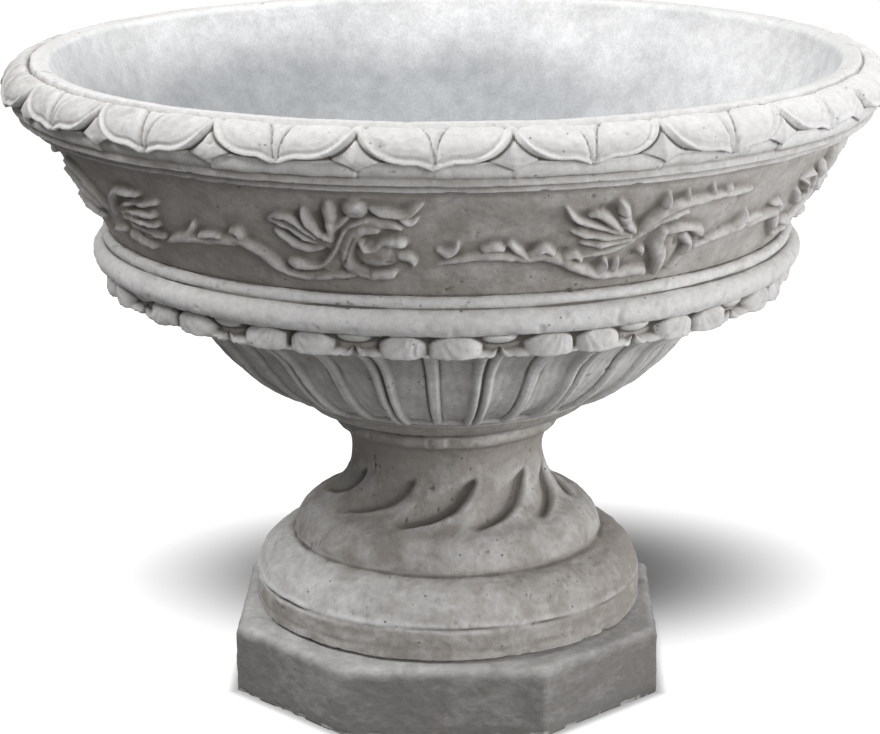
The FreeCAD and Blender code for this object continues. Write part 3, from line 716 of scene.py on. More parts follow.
class Casting:
    """Rings of a turned piece, gathered band by band into one closed mesh."""

    # Surface noise as (strength, size in millimetres), in shares of a band's wear.
    ROUGH = ((0.95, 46.0), (0.55, 17.0), (0.42, 6.0), (0.28, 3.0))
    CHIP_DEPTH = 5.0  # times the wear
    PIT_DEPTH = 9.0  # times the wear
    CHIP_START, PIT_START = 0.42, 0.80  # noise above which the stone is chipped or pitted
    PALE_LIMIT = 6.3  # depth from which ground is bleached less and less: darker, as dirt and painted shade in deep recesses
    INSIDE_LEAST = 0.12  # inside value left on the sides, where the wash is painted palest as a painted highlight

    def __init__(self, outline, top=1e9):
        self.outline, self.top = outline, top
        self.points, self.quads, self.triangles = [], [], []
        self.values = {"hollow": [], "bleach": [], "inside": []}
        self.count, self.last = 0, None
        self.first_ring = None

    def band(self, start, end, step, columns, relief=None, wear=0.0, bleach=0.1, inside=0.0,
             painted_side_light=0.0, broad=0.0):
        """Adds the rings from one place along the outline up to another.

        relief gives heights; bleach and inside are values or functions of the place; weather is
        painted light, how much paler the right side is painted (darker where it is below zero), and
        broad how much painted shade darkens wide hollows.
        """
        rows = max(1, int(round((end - start) / step)))
        s = start + (end - start) * np.arange(rows) / rows
        turns = 360.0 * np.arange(columns) / columns
        height = relief(s, turns) if relief else np.zeros((rows, columns))
        outline = self.outline
        r, z = (outline.pick(outline.path[:, k], s)[:, None] for k in (0, 1))
        normal_r, normal_z = (outline.pick(outline.normal[:, k], s)[:, None] for k in (0, 1))
        dip = outline.pick(outline.dip, s)[:, None]
        a = np.radians(turns)[None, :]
        flat = np.stack([r * np.sin(a), -r * np.cos(a), z + 0 * a], -1)
        rough = wear * sum(strength * lumps(flat, size, SEED + k)
                           for k, (strength, size) in enumerate(self.ROUGH))
        chip = np.clip(lumps(flat, 9.0, SEED + 4) - self.CHIP_START, 0, 1)
        chip = chip * np.clip(-dip / 1.2, 0, 1)
        pit = lumps(flat, 4.2, SEED + 5) + lumps(flat, 23.0, SEED + 6) * 0.25
        pit = np.clip(pit - self.PIT_START, 0, 1)
        total = height + rough - chip * wear * self.CHIP_DEPTH - pit * wear * self.PIT_DEPTH
        # Hollow values: dark where the surface sits below its blurred surroundings, where the section
        # curves in, and in pits; partly dirt, partly painted shade in the recesses. broad adds
        # painted shade over wide hollows.
        sunk = 0 * height
        if relief:
            pitch = math.radians(360.0 / columns) * np.maximum(r.mean(), 1)
            sunk = (blurred(height, 4.0 / step, 4.0 / pitch) - height) / 2.6
            sunk = sunk + broad * (blurred(height, 11.0 / step, 11.0 / pitch) - height) / 3.0
        hollow = sunk + dip / 2.2 + pit * 3
        out_r = r + total * normal_r
        out_z = np.minimum(z + total * normal_z, self.top)
        ring = np.stack([out_r * np.sin(a), -out_r * np.cos(a), out_z], -1)
        pale, deep = ((value(s) if callable(value) else np.full(rows, float(value)))[:, None]
                      + 0 * height for value in (bleach, inside))
        # Painted side light: where weather is above zero the right side is painted paler, where it is
        # below zero darker.
        pale = pale * (1 + painted_side_light * np.sin(a)) + 0.22 * painted_side_light * np.sin(a)
        # Deep ground is painted darker, partly dirt and partly painted shade in the recesses.
        pale = pale - 0.12 * np.clip(-height - self.PALE_LIMIT, 0, 5)
        # Painted highlight on the inside: the inside value is cut back on the right, and a little on
        # the far left, so the wash is painted paler there.
        side = ease(-0.1, 0.9, np.sin(a)) * 0.85 + 0.25 * ease(-0.6, -1.0, np.sin(a))
        deep = np.minimum(deep, self.INSIDE_LEAST + (deep - self.INSIDE_LEAST) * (1 - side))
        self.add(ring, hollow, pale, deep)

    def add(self, rings, hollow, pale, inside):
        """Joins rings of points, with their values, onto the rings gathered so far."""
        rows, columns = rings.shape[:2]
        for k in range(rows):
            start = self.count + k * columns
            if self.last is not None:
                quads, triangles = zipper(self.last[1], columns, self.last[0], start)
                self.quads.append(quads)
                self.triangles.append(triangles)
            else:
                self.first_ring = (start, columns)
            self.last = (start, columns)
        self.count += rows * columns
        self.points.append(rings.reshape(-1, 3))
        self.values["hollow"].append(hollow.ravel())
        self.values["bleach"].append(pale.ravel())
        self.values["inside"].append(inside.ravel())

    def close(self):
        """Joins the last ring to the first one."""
        quads, triangles = zipper(self.last[1], self.first_ring[1], self.last[0], self.first_ring[0])
        self.quads.append(quads)
        self.triangles.append(triangles)

    def fill_with_holes(self, holes, depth):
        """Flat face between the first and last rings, with blind round holes in it."""
        points = np.concatenate(self.points)
        rings = [self.first_ring, self.last]
        level = points[self.first_ring[0], 2]
        known = [start + i for start, count in rings for i in range(count)]
        flat = [Vector(points[i, :2]) for i in known]
        circle = [(math.cos(angle), math.sin(angle))
                  for angle in np.linspace(0, 2 * math.pi, HOLE_POINTS, endpoint=False)]
        new = [len(known) + k * HOLE_POINTS for k in range(len(holes))]
        for x, y, radius in holes:
            flat += [Vector((x + radius * c, y + radius * s)) for c, s in circle]
        edges, base = [], 0
        for count in [count for _, count in rings] + [HOLE_POINTS] * len(holes):
            edges += [(base + i, base + (i + 1) % count) for i in range(count)]
            base += count
        made, _, faces, origin, _, _ = delaunay_2d_cdt(flat, edges, [], 0, 1e-6)
        # Points of the rings keep their own numbers, and the rims of the holes are new.
        table, extra = {}, []
        for k, place in enumerate(made):
            if origin[k] and origin[k][0] < len(known):
                table[k] = known[origin[k][0]]
            else:
                table[k] = self.count + len(extra)
                extra.append((place.x, place.y, level))
        lookup = {origin[k][0]: table[k] for k in range(len(made)) if origin[k]}
        outer, inner = (np.hypot(*points[start, :2]) for start, _ in rings)
        triangles, quads = [], []
        for face in faces:
            cx = sum(made[k].x for k in face) / len(face)
            cy = sum(made[k].y for k in face) / len(face)
            in_hole = any(math.hypot(cx - x, cy - y) < radius * 0.995 for x, y, radius in holes)
            if in_hole or not inner < math.hypot(cx, cy) < outer:
                continue
            for k in range(1, len(face) - 1):
                triangles.append([table[face[0]], table[face[k + 1]], table[face[k]]])
        for (x, y, radius), start in zip(holes, new):
            rim = [lookup[start + i] for i in range(HOLE_POINTS)]
            top = self.count + len(extra)
            extra += [(x + radius * c, y + radius * s, level + depth) for c, s in circle]
            extra.append((x, y, level + depth))
            for i in range(HOLE_POINTS):
                j = (i + 1) % HOLE_POINTS
                quads.append([rim[j], rim[i], top + i, top + j])
                triangles.append([top + j, top + i, top + HOLE_POINTS])
        self.count += len(extra)
        self.points.append(np.array(extra))
        for label, fill in (("hollow", 0.4), ("bleach", 0.1), ("inside", 0.0)):
            self.values[label].append(np.full(len(extra), fill))
        self.triangles.append(np.array(triangles))
        self.quads.append(np.array(quads))

    def mesh(self, name):
        """The gathered rings as one mesh object."""
        values = {label: np.concatenate(parts) for label, parts in self.values.items()}
        return make_mesh(name, np.concatenate(self.points), np.concatenate(self.quads),
                         np.concatenate(self.triangles), values)


# ---------------------------------------------------------------- the bowl
# Outside, lip, inside and drain, as radius and height.
BOWL_EDGES = chain(
    (92, 253.5),
    ("base", (103, 253.5), 0),
    ("foot", (103, 255.5), 0),
    ("collar", (140, 272), 0.14),
    ("cup", (226, 338), 0.09),
    ("upper cup", (308, 380), -0.09),
    ("brim", (308, 400.5), 0.12),
    ("ledge", (315, 400.5), 0),
    ("torus", (312.4, 423.5), 0.40),
    ("bead", (306, 432.5), 0.5),
    ("wall", (359, 526), 0),
    ("cove", (376, 532), -0.2),
    ("lower band", (376, 539), 0),
    ("step", (385, 539), 0),
    ("upper band", (385, 546), 0),
    ("rim", (400, 559), 0.2),
    ("roll", (372.4, 585.6), 0.2071),
    ("lip", (361, 585.9), 0.10),
    ("edge", (353.2, 577.5), 0.20),
    ("inside", (90, 318), clamped_curve(
        [(353.2, 577.5), (333, 526), (280, 432.5), (200, 358.8), (90, 318)], (-7, -24), (-30, 0))),
    ("floor", (38, 316), 0),
    ("well", (33, 316), 0),
    ("recess", (33, 311.9), 0),
    ("seat", (21.4, 311.9), 0),
    ("bore", (21.4, 253.5), 0),
    ("under", (30, 253.5), 0),
    ("end", (31, 253.5), 0),
)
BOWL_SOFTNESS = 1.1
FINE_RING, PLAIN_RING, COARSE_RING = 1600, 1000, 600  # points round the bowl
WELL_RING, DRAIN_RING = 160, 96  # points round the drain
DOWEL_CIRCLE = 62.0  # radius of the circle that the neck dowels stand on
DOWEL_FIRST = 50.0  # degrees
DOWEL_HOLE = 7.0  # radius
DOWEL_HOLE_DEPTH = 44.0


def build_bowl(sizes):
    """The bowl's stone with its leaves, scroll, petals and drain."""
    outline = Outline(BOWL_EDGES, BOWL_SOFTNESS)
    at = outline.at
    wear = sizes.wear / MM

    def petals(s, turns):
        return petal_heights(outline, s, turns, sizes.petal_count, sizes.petal_depth / MM)

    def wall(s, turns):
        return scroll_heights(s - at["wall"], turns, sizes.scroll_depth / MM)

    def joints(s, turns):
        return torus_heights(outline, s, turns)

    def leaves(s, turns):
        return leaf_heights(at["lip"] - s, turns, sizes.leaf_count, sizes.leaf_depth / MM)

    # Inside values: 0.12 just past the lip's edge, then rising down the inside, so the wash is
    # painted darker deeper down, as painted shade.
    def depth(s):
        return 0.12 * ease(0, 8, s - at["edge"]) + 0.88 * ease(-6, 110, s - at["inside"])

    pale = outline.levels(
        ("cup", 0, 0.56), ("upper cup", 0, 0.60), ("brim", -12, 0.55), ("brim", 2, 0.46),
        ("ledge", 0, 0.6), ("torus", 4, 0.80), ("bead", 0, 0.80), ("wall", 0, 0.46),
        ("wall", 6, 0.13), ("cove", -8, 0.18), ("lower band", 0, 0.30), ("rim", -3, 0.40),
        ("rim", 8, 0.80), ("roll", 0, 1), ("lip", 0, 1))
    casting = Casting(outline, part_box("bowl")[1].z / MM - 0.05)
    casting.band(2.0, at["foot"], 6.0, COARSE_RING)
    casting.band(at["foot"], at["cup"], 2.4, PLAIN_RING, None, wear, 0.14)
    # weather paints the right side of the cup, scroll wall, bands and leaves paler, as painted light.
    casting.band(at["cup"], at["brim"] - 26, 2.1, PLAIN_RING, petals, wear, pale, painted_side_light=0.35)
    casting.band(at["brim"] - 26, at["torus"] + 2, 1.1, FINE_RING, petals, wear, pale)
    casting.band(at["torus"] + 2, at["bead"] - 4, 1.9, PLAIN_RING, joints, wear * 1.5, pale)
    casting.band(at["bead"] - 4, at["wall"] + 3, 0.9, PLAIN_RING, joints, wear, pale)
    casting.band(at["wall"] + 3, at["cove"] - 1, 1.25, FINE_RING, wall, wear, pale, painted_side_light=0.55)
    casting.band(at["cove"] - 1, at["rim"] - 2, 1.7, PLAIN_RING, None, wear, pale, painted_side_light=0.55)
    casting.band(at["rim"] - 2, at["lip"] + 1.5, 1.15, FINE_RING, leaves, wear * 0.8, pale,
                 painted_side_light=0.45)
    casting.band(at["lip"] + 1.5, at["inside"] + 8, 1.6, PLAIN_RING, None, wear * 0.7, 1.0, depth)
    casting.band(at["inside"] + 8, at["well"], 6.5, COARSE_RING, None, wear * 1.4, 1.0, depth)
    casting.band(at["well"], at["bore"] + 3, 1.2, WELL_RING, None, 0.0, 1.0, 0.9)
    casting.band(at["bore"] + 3, at["under"] + 6, 6.0, DRAIN_RING, None, 0.0, 0.3, 0.9)
    turns = [math.radians(DOWEL_FIRST + 120 * k) for k in range(3)]
    casting.fill_with_holes([(DOWEL_CIRCLE * math.cos(turn), DOWEL_CIRCLE * math.sin(turn),
                              DOWEL_HOLE) for turn in turns], DOWEL_HOLE_DEPTH)
    return casting.mesh("stone_bowl")


# ---------------------------------------------------------------- the foot
# Drum, torus, flare and bore, as radius and height.
FOOT_EDGES = chain(
    (168, 66),
    ("base", (180.5, 66), 0),
    ("drum", (180.5, 93), 0),
    ("fillet", (179, 101), 0.1875),
    ("lower torus", (144.5, 132), 0.16),
    ("upper torus", (127, 162), 0.14),
    ("flare", (89.5, 217), -0.17),
    ("throat", (98, 238), -0.10),
    ("bead", (104, 250.5), 0.30),
    ("top", (30, 250.5), 0),
    ("bore", (30, 66), 0),
    ("under", (168, 66), 0),
    ("end", (169, 66), 0),
)
FOOT_SOFTNESS = 1.7
FOOT_RING, BASE_RING, FACE_RING = 720, 400, 200  # points round the foot
HOLLOW_LOW, HOLLOW_HIGH = 167.5, 204.5  # heights of a hollow's two ends
HOLLOW_WIDTH = 14.0
# Share of the full depth, hollow by hollow from the front.
HOLLOW_DEPTHS = (1.0, 0.95, 1.05, 0.9, 1.0, 0.8, 1.05, 0.9, 0.6, 0.55)
DRUM_RADIUS = 180  # for the noise round the drum


def hollow_heights(outline, s, turns, count, depth):
    """Leaning crescents around the flare: sharp at the lower right, soft at the upper left."""
    r, z = (outline.pick(outline.path[:, k], s)[:, None] for k in (0, 1))
    total = np.zeros((len(s), len(turns)))
    up = np.clip((z - HOLLOW_LOW) / (HOLLOW_HIGH - HOLLOW_LOW), -0.2, 1.2)
    # Middle line of a crescent: fast round the torus, then steeply up the flare.
    middle = np.interp(up, [-0.2, 0.0, 0.14, 0.33, 0.60, 0.92, 1.2],
                       [-31, -21, -10.4, -0.6, 7.2, 14.6, 19])
    slope = 0.42 + 0.5 * np.clip(up, 0, 1)
    width = HOLLOW_WIDTH * np.sin(np.clip((up + 0.08) / 1.16, 0, 1) * math.pi) ** 0.8 + 0.01
    for k in range(count):
        turn = 360.0 / count * k + FRONT + 0.4 * math.sin(k * 2.1)
        across = wrapped(turns[None, :] - turn - middle) * np.radians(r) * slope
        share = across / width
        steep = np.clip(1 - (share / 0.50) ** 2, 0, 1) ** 0.9
        gentle = np.clip(1 + share / 1.7, 0, 1) ** 0.95
        strength = HOLLOW_DEPTHS[k % len(HOLLOW_DEPTHS)]
        hollow = -depth * strength * np.where(share > 0, steep, gentle) * ease(0.3, 8, width)
        total = np.minimum(total, hollow)
        rib = bell(across - 0.50 * width - 5.0, 6.0) * ease(-0.05, 0.3, up)
        total = total + 1.5 * rib * ease(1.05, 0.7, up) * (total > -1.5)
    return blurred(total, 1.3, 1.8)


def drum_heights(outline, s, turns):
    """Torn seams of the mould round the drum and the lower torus, and the drum's lumps."""
    at = outline.at
    spot = unrolled(DRUM_RADIUS, s, turns)
    torn = np.clip(0.75 + 1.2 * lumps(spot, 30.0, SEED + 51), 0.2, 1.5)
    total = 0.0 * spot[..., 0]
    for place, deep, width in ((at["fillet"] + 2.0, 3.2, 1.5), (at["upper torus"], 0.5, 2.0),
                               (at["drum"] + 10, 0.8, 2.2)):
        way = s[:, None] - place + 1.3 * lumps(spot, 21.0, SEED + 52)
        total = total - deep * torn * bell(way, width)
    return total + 0.8 * lumps(spot * (1, 1, 2.5), 15.0, SEED + 53) * ease(0, 20, s)[:, None]


def build_foot(sizes):
    """The foot's stone with its hollows and its bore."""
    outline = Outline(FOOT_EDGES, FOOT_SOFTNESS)
    at = outline.at
    wear = sizes.wear / MM

    def hollows(s, turns):
        return hollow_heights(outline, s, turns, sizes.hollow_count, sizes.hollow_depth / MM)

    def seams(s, turns):
        return drum_heights(outline, s, turns)

    pale = outline.levels(
        ("drum", 0, 0.0), ("fillet", -4, 0.14), ("fillet", 2, 0.50), ("lower torus", 8, 0.38),
        ("upper torus", -4, 0.3), ("upper torus", 5, 0.27), ("flare", 0, 0.27),
        ("throat", -20, 0.16), ("throat", 0, 0.02), ("bead", 0, -0.22))
    casting = Casting(outline)
    casting.band(0.0, at["drum"] - 0.5, 5.0, BASE_RING)
    # weather below zero paints the right side of the drum, torus and throat darker, and broad darkens
    # the wide hollows, both as painted shade.
    casting.band(at["drum"] - 0.5, at["upper torus"] + 6, 1.5, FOOT_RING, seams, wear * 1.25, pale,
                 painted_side_light=-0.8)
    casting.band(at["upper torus"] + 6, at["throat"] + 4, 1.5, FOOT_RING, hollows, wear, pale,
                 broad=0.32)
    casting.band(at["throat"] + 4, at["top"], 1.7, FOOT_RING, None, wear, pale, painted_side_light=-0.2)
    casting.band(at["top"], at["bore"], 8.0, FACE_RING)
    casting.band(at["bore"], at["under"], 14.0, DRAIN_RING)
    casting.band(at["under"], at["end"], 16.0, FACE_RING)
    casting.close()
    return casting.mesh("stone_foot")


# ---------------------------------------------------------------- the plinth
PLINTH_CUT = 105.0  # corner cut of the square that the plinth is made from
PLINTH_CORNER = 6.0  # rounding between two sides
PLINTH_EDGE = 8.0  # rounding of the top edge
PLINTH_RING = 896  # points round the plinth
PLINTH_TOP_BAND = 44.0  # width of the top's worn band
BORE = 30.0  # radius of the drain bore


def octagon(half, cut, rounding, count, inset):
    """Evenly spaced points and outward ways of an eight-sided outline, drawn in by inset."""
    half, cut = half - inset, cut - (2 - math.sqrt(2)) * inset
    rounding = max(rounding - inset, 0.2)
    near = half - cut
    corners = []
    for quarter in range(4):
        turn = math.radians(90 * quarter)
        c, s = math.cos(turn), math.sin(turn)
        for x, y in ((near, -half), (half, -near)):
            corners.append(np.array([x * c - y * s, x * s + y * c]))
    points = []
    for k, corner in enumerate(corners):
        before, after = corners[k - 1], corners[(k + 1) % 8]
        back = (before - corner) / np.linalg.norm(before - corner)
        on = (after - corner) / np.linalg.norm(after - corner)
        open_half = math.acos(np.clip(np.dot(back, on), -1, 1)) / 2
        centre = corner + (back + on) / np.linalg.norm(back + on) * rounding / math.sin(open_half)
        start = corner + back * rounding / math.tan(open_half)
        end = corner + on * rounding / math.tan(open_half)
        first = math.atan2(*(start - centre)[::-1])
        sweep = (math.atan2(*(end - centre)[::-1]) - first + math.pi) % (2 * math.pi) - math.pi
        for t in np.linspace(0, 1, 7):
            points.append(centre + rounding * np.array([math.cos(first + t * sweep),
                                                        math.sin(first + t * sweep)]))
    points = np.array(points + [points[0]])
    way = np.concatenate([[0], np.cumsum(np.hypot(*np.diff(points, axis=0).T))])
    even = np.linspace(0, way[-1], count, endpoint=False)
    ring = np.stack([np.interp(even, way, points[:, k]) for k in (0, 1)], 1)
    tangent = np.roll(ring, -1, 0) - np.roll(ring, 1, 0)
    tangent /= np.hypot(*tangent.T)[:, None]
    return ring, np.stack([tangent[:, 1], -tangent[:, 0]], 1)


def build_plinth(sizes):
    """The plinth's stone with its worn edges and the drain bore."""
    wear = sizes.wear / MM
    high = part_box("plinth")[1]
    height, half = high.z / MM, high.x / MM
    rows = [(0.0, z) for z in np.linspace(0, height - PLINTH_EDGE, 40)]
    rows += [(PLINTH_EDGE * (1 - math.cos(t)), height - PLINTH_EDGE * (1 - math.sin(t)))
             for t in np.linspace(0, math.pi / 2, 8)[1:]]
    rows += [(PLINTH_EDGE + t, height) for t in np.linspace(2, PLINTH_TOP_BAND, 20)]
    points, ways, edge = [], [], []
    for inset, z in rows:
        ring, out = octagon(half, PLINTH_CUT, PLINTH_CORNER, PLINTH_RING, inset)
        points.append(np.column_stack([ring, np.full(PLINTH_RING, z)]))
        lean = np.clip(inset / PLINTH_EDGE, 0, 1)
        way = np.column_stack([out * (1 - lean), np.full(PLINTH_RING, lean)])
        ways.append(way / np.linalg.norm(way, axis=1)[:, None])
        top_edge = 0.12 * math.exp(-(((z - height) / 5) ** 2)) * (inset < 10)
        edge.append(np.full(PLINTH_RING, top_edge + math.exp(-((z / 3) ** 2))))
    points, ways, edge = np.array(points), np.array(ways), np.array(edge)
    up = points[..., 2]
    rough = wear * (1.3 * lumps(points, 60.0, SEED + 9) + 0.8 * lumps(points, 21.0, SEED + 10)
                    + 0.45 * lumps(points, 6.5, SEED + 11) + 0.3 * lumps(points, 3.2, SEED + 12))
    chip = np.clip(lumps(points * (1, 1, 3), 11.0, SEED + 13)
                   + 0.4 * lumps(points, 4.0, SEED + 14) + 0.05, 0, 1)
    # Wear fades away under the foot, where the mortar bed lies.
    reach = np.hypot(points[..., 0], points[..., 1])
    chip = chip * edge * 3.0 * ease(181, 186, reach)
    moved = points + ways * (rough * ease(179, 183, reach) - chip)[..., None]
    moved[..., 2] = np.clip(moved[..., 2], 0, None)
    moved[0, :, 2] = 0
    # Darker towards the bottom; darker on the right below the top edge, as painted shade; paler on
    # the ledge, more where it faces up and towards the left, as dust and painted light; pale breaks
    # along the lower edge.
    right = points[..., 0] / half
    broken = np.clip(chip, 0, 1)
    hollow = 0.3 * ease(14, 2, up) - 0.6 * broken
    hollow = hollow + 0.35 * ease(0.55, 1.0, right) * ease(height, height - 8, up)
    dust_and_painted_light = ease(height - 14, height, up) * (0.5 + 0.3 * ways[..., 2]) * (1 - 0.35 * right)
    pale = 0.02 + 0.62 * broken * ease(6, 2, up) + 0.62 * dust_and_painted_light
    casting = Casting(None)
    casting.add(moved, hollow, pale, np.zeros_like(pale))
    # Top under the foot, drain bore and underside, as (share of the way in, height).
    inner = moved[-1]
    angle = np.arctan2(inner[:, 1], inner[:, 0])
    circle = np.column_stack([np.cos(angle), np.sin(angle)])
    plain = np.ones((1, PLINTH_RING))
    for share, z in ((0.25, height), (0.6, height), (1, height), (1, height / 2), (1, 0),
                     (0.6, 0), (0.25, 0)):
        flat = inner[:, :2] * (1 - share) + circle * BORE * share
        ring = np.column_stack([flat, np.full(PLINTH_RING, z)])[None]
        casting.add(ring, 0.3 * plain, 0.05 * plain, 0 * plain)
    casting.close()
    return casting.mesh("stone_plinth")


# ---------------------------------------------------------------- materials
def link_all(tree, target, values):
    """Links values that are sockets to the named inputs, and sets the others."""
    for label, value in values.items():
        if isinstance(value, bpy.types.NodeSocket):
            tree.links.new(value, target[label])
        else:
            target[label].default_value = value


def node(tree, kind, inputs=None, **settings):
    """Adds a node with its settings and inputs."""
    made = tree.nodes.new(kind)
    for key, value in settings.items():
        setattr(made, key, value)
    link_all(tree, made.inputs, inputs or {})
    return made


def colour4(colour):
    """A colour with full alpha."""
    return (*colour[:3], 1.0)


def mixed(tree, share, first, second, how="MIX"):
    """Two colours mixed by a share."""
    made = node(tree, "ShaderNodeMix", {0: share, 6: first, 7: second}, data_type="RGBA",
                blend_type=how)
    return made.outputs[2]


def maths(tree, how, *values, clamp=False):
    """One sum on values or sockets."""
    made = node(tree, "ShaderNodeMath", dict(enumerate(values)), operation=how, use_clamp=clamp)
    return made.outputs[0]


def times(tree, *values):
    """The product of two."""
    return maths(tree, "MULTIPLY", *values)


def plus(tree, *values, clamp=False):
    """The sum of two."""
    return maths(tree, "ADD", *values, clamp=clamp)


def swing(tree, field, amount):
    """A field from 0 to 1 as a swing about zero."""
    return times(tree, maths(tree, "SUBTRACT", field, 0.5), amount)


def between(tree, value, low, high, out_low=0.0, out_high=1.0):
    """A smooth step from one value to another while value goes from low to high."""
    made = node(tree, "ShaderNodeMapRange",
                {"Value": value, "From Min": low, "From Max": high, "To Min": out_low,
                 "To Max": out_high}, interpolation_type="SMOOTHSTEP")
    return made.outputs[0]


def noise(tree, place, scale, detail=4.0, rough=0.55, warp=0.0):
    """Smooth noise from 0 to 1; scale is lumps to the metre."""
    made = node(tree, "ShaderNodeTexNoise", {"Vector": place, "Scale": scale, "Detail": detail,
                                             "Roughness": rough, "Distortion": warp})
    return made.outputs["Fac"]


def grey(tree, value):
    """A grey of that brightness."""
    parts = dict.fromkeys(("Red", "Green", "Blue"), value)
    return node(tree, "ShaderNodeCombineColor", parts).outputs[0]


def new_group(name, inputs, outputs):
    """An empty shader node group with those sockets."""
    group = bpy.data.node_groups.new(name, "ShaderNodeTree")
    kinds = {"F": "NodeSocketFloat", "C": "NodeSocketColor", "V": "NodeSocketVector"}
    for way, sockets in (("INPUT", inputs), ("OUTPUT", outputs)):
        for label, kind in sockets.items():
            group.interface.new_socket(label, in_out=way, socket_type=kinds[kind])
    source = group.nodes.new("NodeGroupInput")
    sink = group.nodes.new("NodeGroupOutput")
    return group, source.outputs, sink.inputs


SURFACE = {"Color": "C", "Roughness": "F", "Height": "F"}
WARM_STAIN = (0.33, 0.27, 0.21, 1.0)
PIT_SCALE = 105.0


def weathering_group():
    """Patches, grain, pits and grime of cast stone, with painted shade in its hollows and a painted
    highlight on what stands out.
    """
    group, given, out = new_group(
        "stone_weathering",
        {"Place": "V", "Body": "C", "Pale": "C", "Dirt": "C", "Bleach": "F", "Hollow": "F",
         "Patches": "F", "Grain": "F", "Pits": "F"}, SURFACE)
    place, dirt_and_shade, patches = given["Place"], given["Dirt"], given["Patches"]
    broad = noise(group, place, 7.0, 5.0, 0.62, 0.4)
    blotch = noise(group, place, 38.0, 6.0, 0.66, 0.3)
    fleck = noise(group, place, 150.0, 5.0, 0.7)
    grain = noise(group, place, 620.0, 3.0, 0.6)
    # Bleached in patches, more on what stands out and less in the hollows: partly wear, partly
    # painted highlight and painted shade.
    patch = swing(group, blotch, patches)
    raised = times(group, given["Hollow"], -0.62)
    raised = maths(group, "MINIMUM", maths(group, "MAXIMUM", raised, -0.1), 0.42)
    pale = plus(group, given["Bleach"], times(group, patch, 1.5))
    pale = plus(group, plus(group, pale, raised), swing(group, broad, patches), clamp=True)
    colour = mixed(group, pale, given["Body"], given["Pale"])
    # Grime and painted shade in the hollows, a warm tint, and stains.
    sunk = between(group, plus(group, given["Hollow"], times(group, patch, 0.9)), 0.08, 0.95)
    colour = mixed(group, times(group, sunk, 0.86), colour, dirt_and_shade)
    warm = between(group, broad, 0.42, 0.66)
    colour = mixed(group, times(group, warm, 0.10), colour, WARM_STAIN)
    stain = times(group, between(group, blotch, 0.60, 0.74), patches)
    colour = mixed(group, times(group, stain, 0.35), colour, dirt_and_shade)
    # Two sizes of grain, and fine pits where the blotches are.
    speck = between(group, fleck, 0.30, 0.72)
    shade = plus(group, 1.0, swing(group, speck, given["Grain"]))
    shade = plus(group, shade, swing(group, grain, given["Grain"]))
    colour = mixed(group, 1.0, colour, grey(group, shade), "MULTIPLY")
    holes = node(group, "ShaderNodeTexVoronoi", {"Vector": place, "Scale": PIT_SCALE,
                                                 "Randomness": 1.0})
    near = between(group, holes.outputs["Distance"], 0.07, 0.16, 1.0, 0.0)
    pit = times(group, times(group, near, between(group, blotch, 0.50, 0.60)), given["Pits"])
    colour = mixed(group, times(group, pit, 0.75), colour, dirt_and_shade)
    height = plus(group, times(group, grain, 0.30), times(group, fleck, 0.75))
    height = plus(group, height, times(group, blotch, 0.9))
    height = maths(group, "SUBTRACT", height, times(group, pit, 1.4))
    link_all(group, out, {"Color": colour, "Height": height,
                          "Roughness": between(group, fleck, 0.2, 0.8, 0.80, 0.96)})
    return group


def grime_group():
    """Fine speckle and smears for the small fittings."""
    group, given, out = new_group(
        "fitting_grime", {"Place": "V", "Clean": "C", "Dirty": "C", "Amount": "F", "Size": "F"},
        SURFACE)
    coarse = noise(group, given["Place"], given["Size"], 6.0, 0.65)
    fine = noise(group, given["Place"], times(group, given["Size"], 9.0), 3.0)
    share = times(group, between(group, coarse, 0.38, 0.66), given["Amount"])
    colour = mixed(group, share, given["Clean"], given["Dirty"])
    colour = mixed(group, times(group, fine, 0.25), colour, given["Dirty"])
    link_all(group, out, {"Color": colour, "Height": plus(group, coarse, times(group, fine, 0.4)),
                          "Roughness": between(group, coarse, 0.3, 0.7, 0.35, 0.85)})
    return group


def shared(name, maker):
    """The node group of that name, made when it is first asked for."""
    return bpy.data.node_groups.get(name) or maker()


def new_material(name):
    """An empty material with its surface, and the place on the object for its textures."""
    material = bpy.data.materials.new(name)
    material.use_nodes = True
    tree = material.node_tree
    tree.nodes.clear()
    surface = node(tree, "ShaderNodeBsdfPrincipled")
    output = node(tree, "ShaderNodeOutputMaterial")
    tree.links.new(surface.outputs[0], output.inputs[0])
    place = node(tree, "ShaderNodeTexCoord").outputs["Object"]
    return material, tree, surface, place


def bump_into(tree, surface, height, distance, strength):
    """Roughens the surface's normal."""
    made = node(tree, "ShaderNodeBump", {"Height": height, "Distance": distance,
                                         "Strength": strength})
    tree.links.new(made.outputs[0], surface.inputs["Normal"])


STONE_BUMP = 0.0012  # metres
WASH_AND_HIGHLIGHT = (0.92, 0.92, 0.92, 1.0)  # the bowl's rain-bleached inside, made whiter than stone as a painted highlight
# Clouds and fine grain of the inside, as (scale, darkest, lightest).
WASH_TONES = ((16.0, 0.90, 1.05), (70.0, 0.90, 1.06), (420.0, 0.90, 1.06))


def washed_inside(tree, place, colour, inside, weathered_grey_and_shade):
    """Covers the stone's colour with the wash on the inside of the bowl, painted darker deep down
    and on the left as painted shade, and paler on the right as a painted highlight.
    """
    cloud = swing(tree, noise(tree, place, 4.2, 5.0, 0.5, 0.2), 1.3)
    shade = between(tree, plus(tree, inside, cloud), -0.15, 0.85)
    wash = mixed(tree, shade, WASH_AND_HIGHLIGHT, colour4(weathered_grey_and_shade))
    for scale, low, high in WASH_TONES:
        tone = between(tree, noise(tree, place, scale, 5.0, 0.62), 0.30, 0.70, low, high)
        wash = mixed(tree, 1.0, wash, grey(tree, tone), "MULTIPLY")
    return mixed(tree, between(tree, inside, 0.0, 0.12), colour, wash)


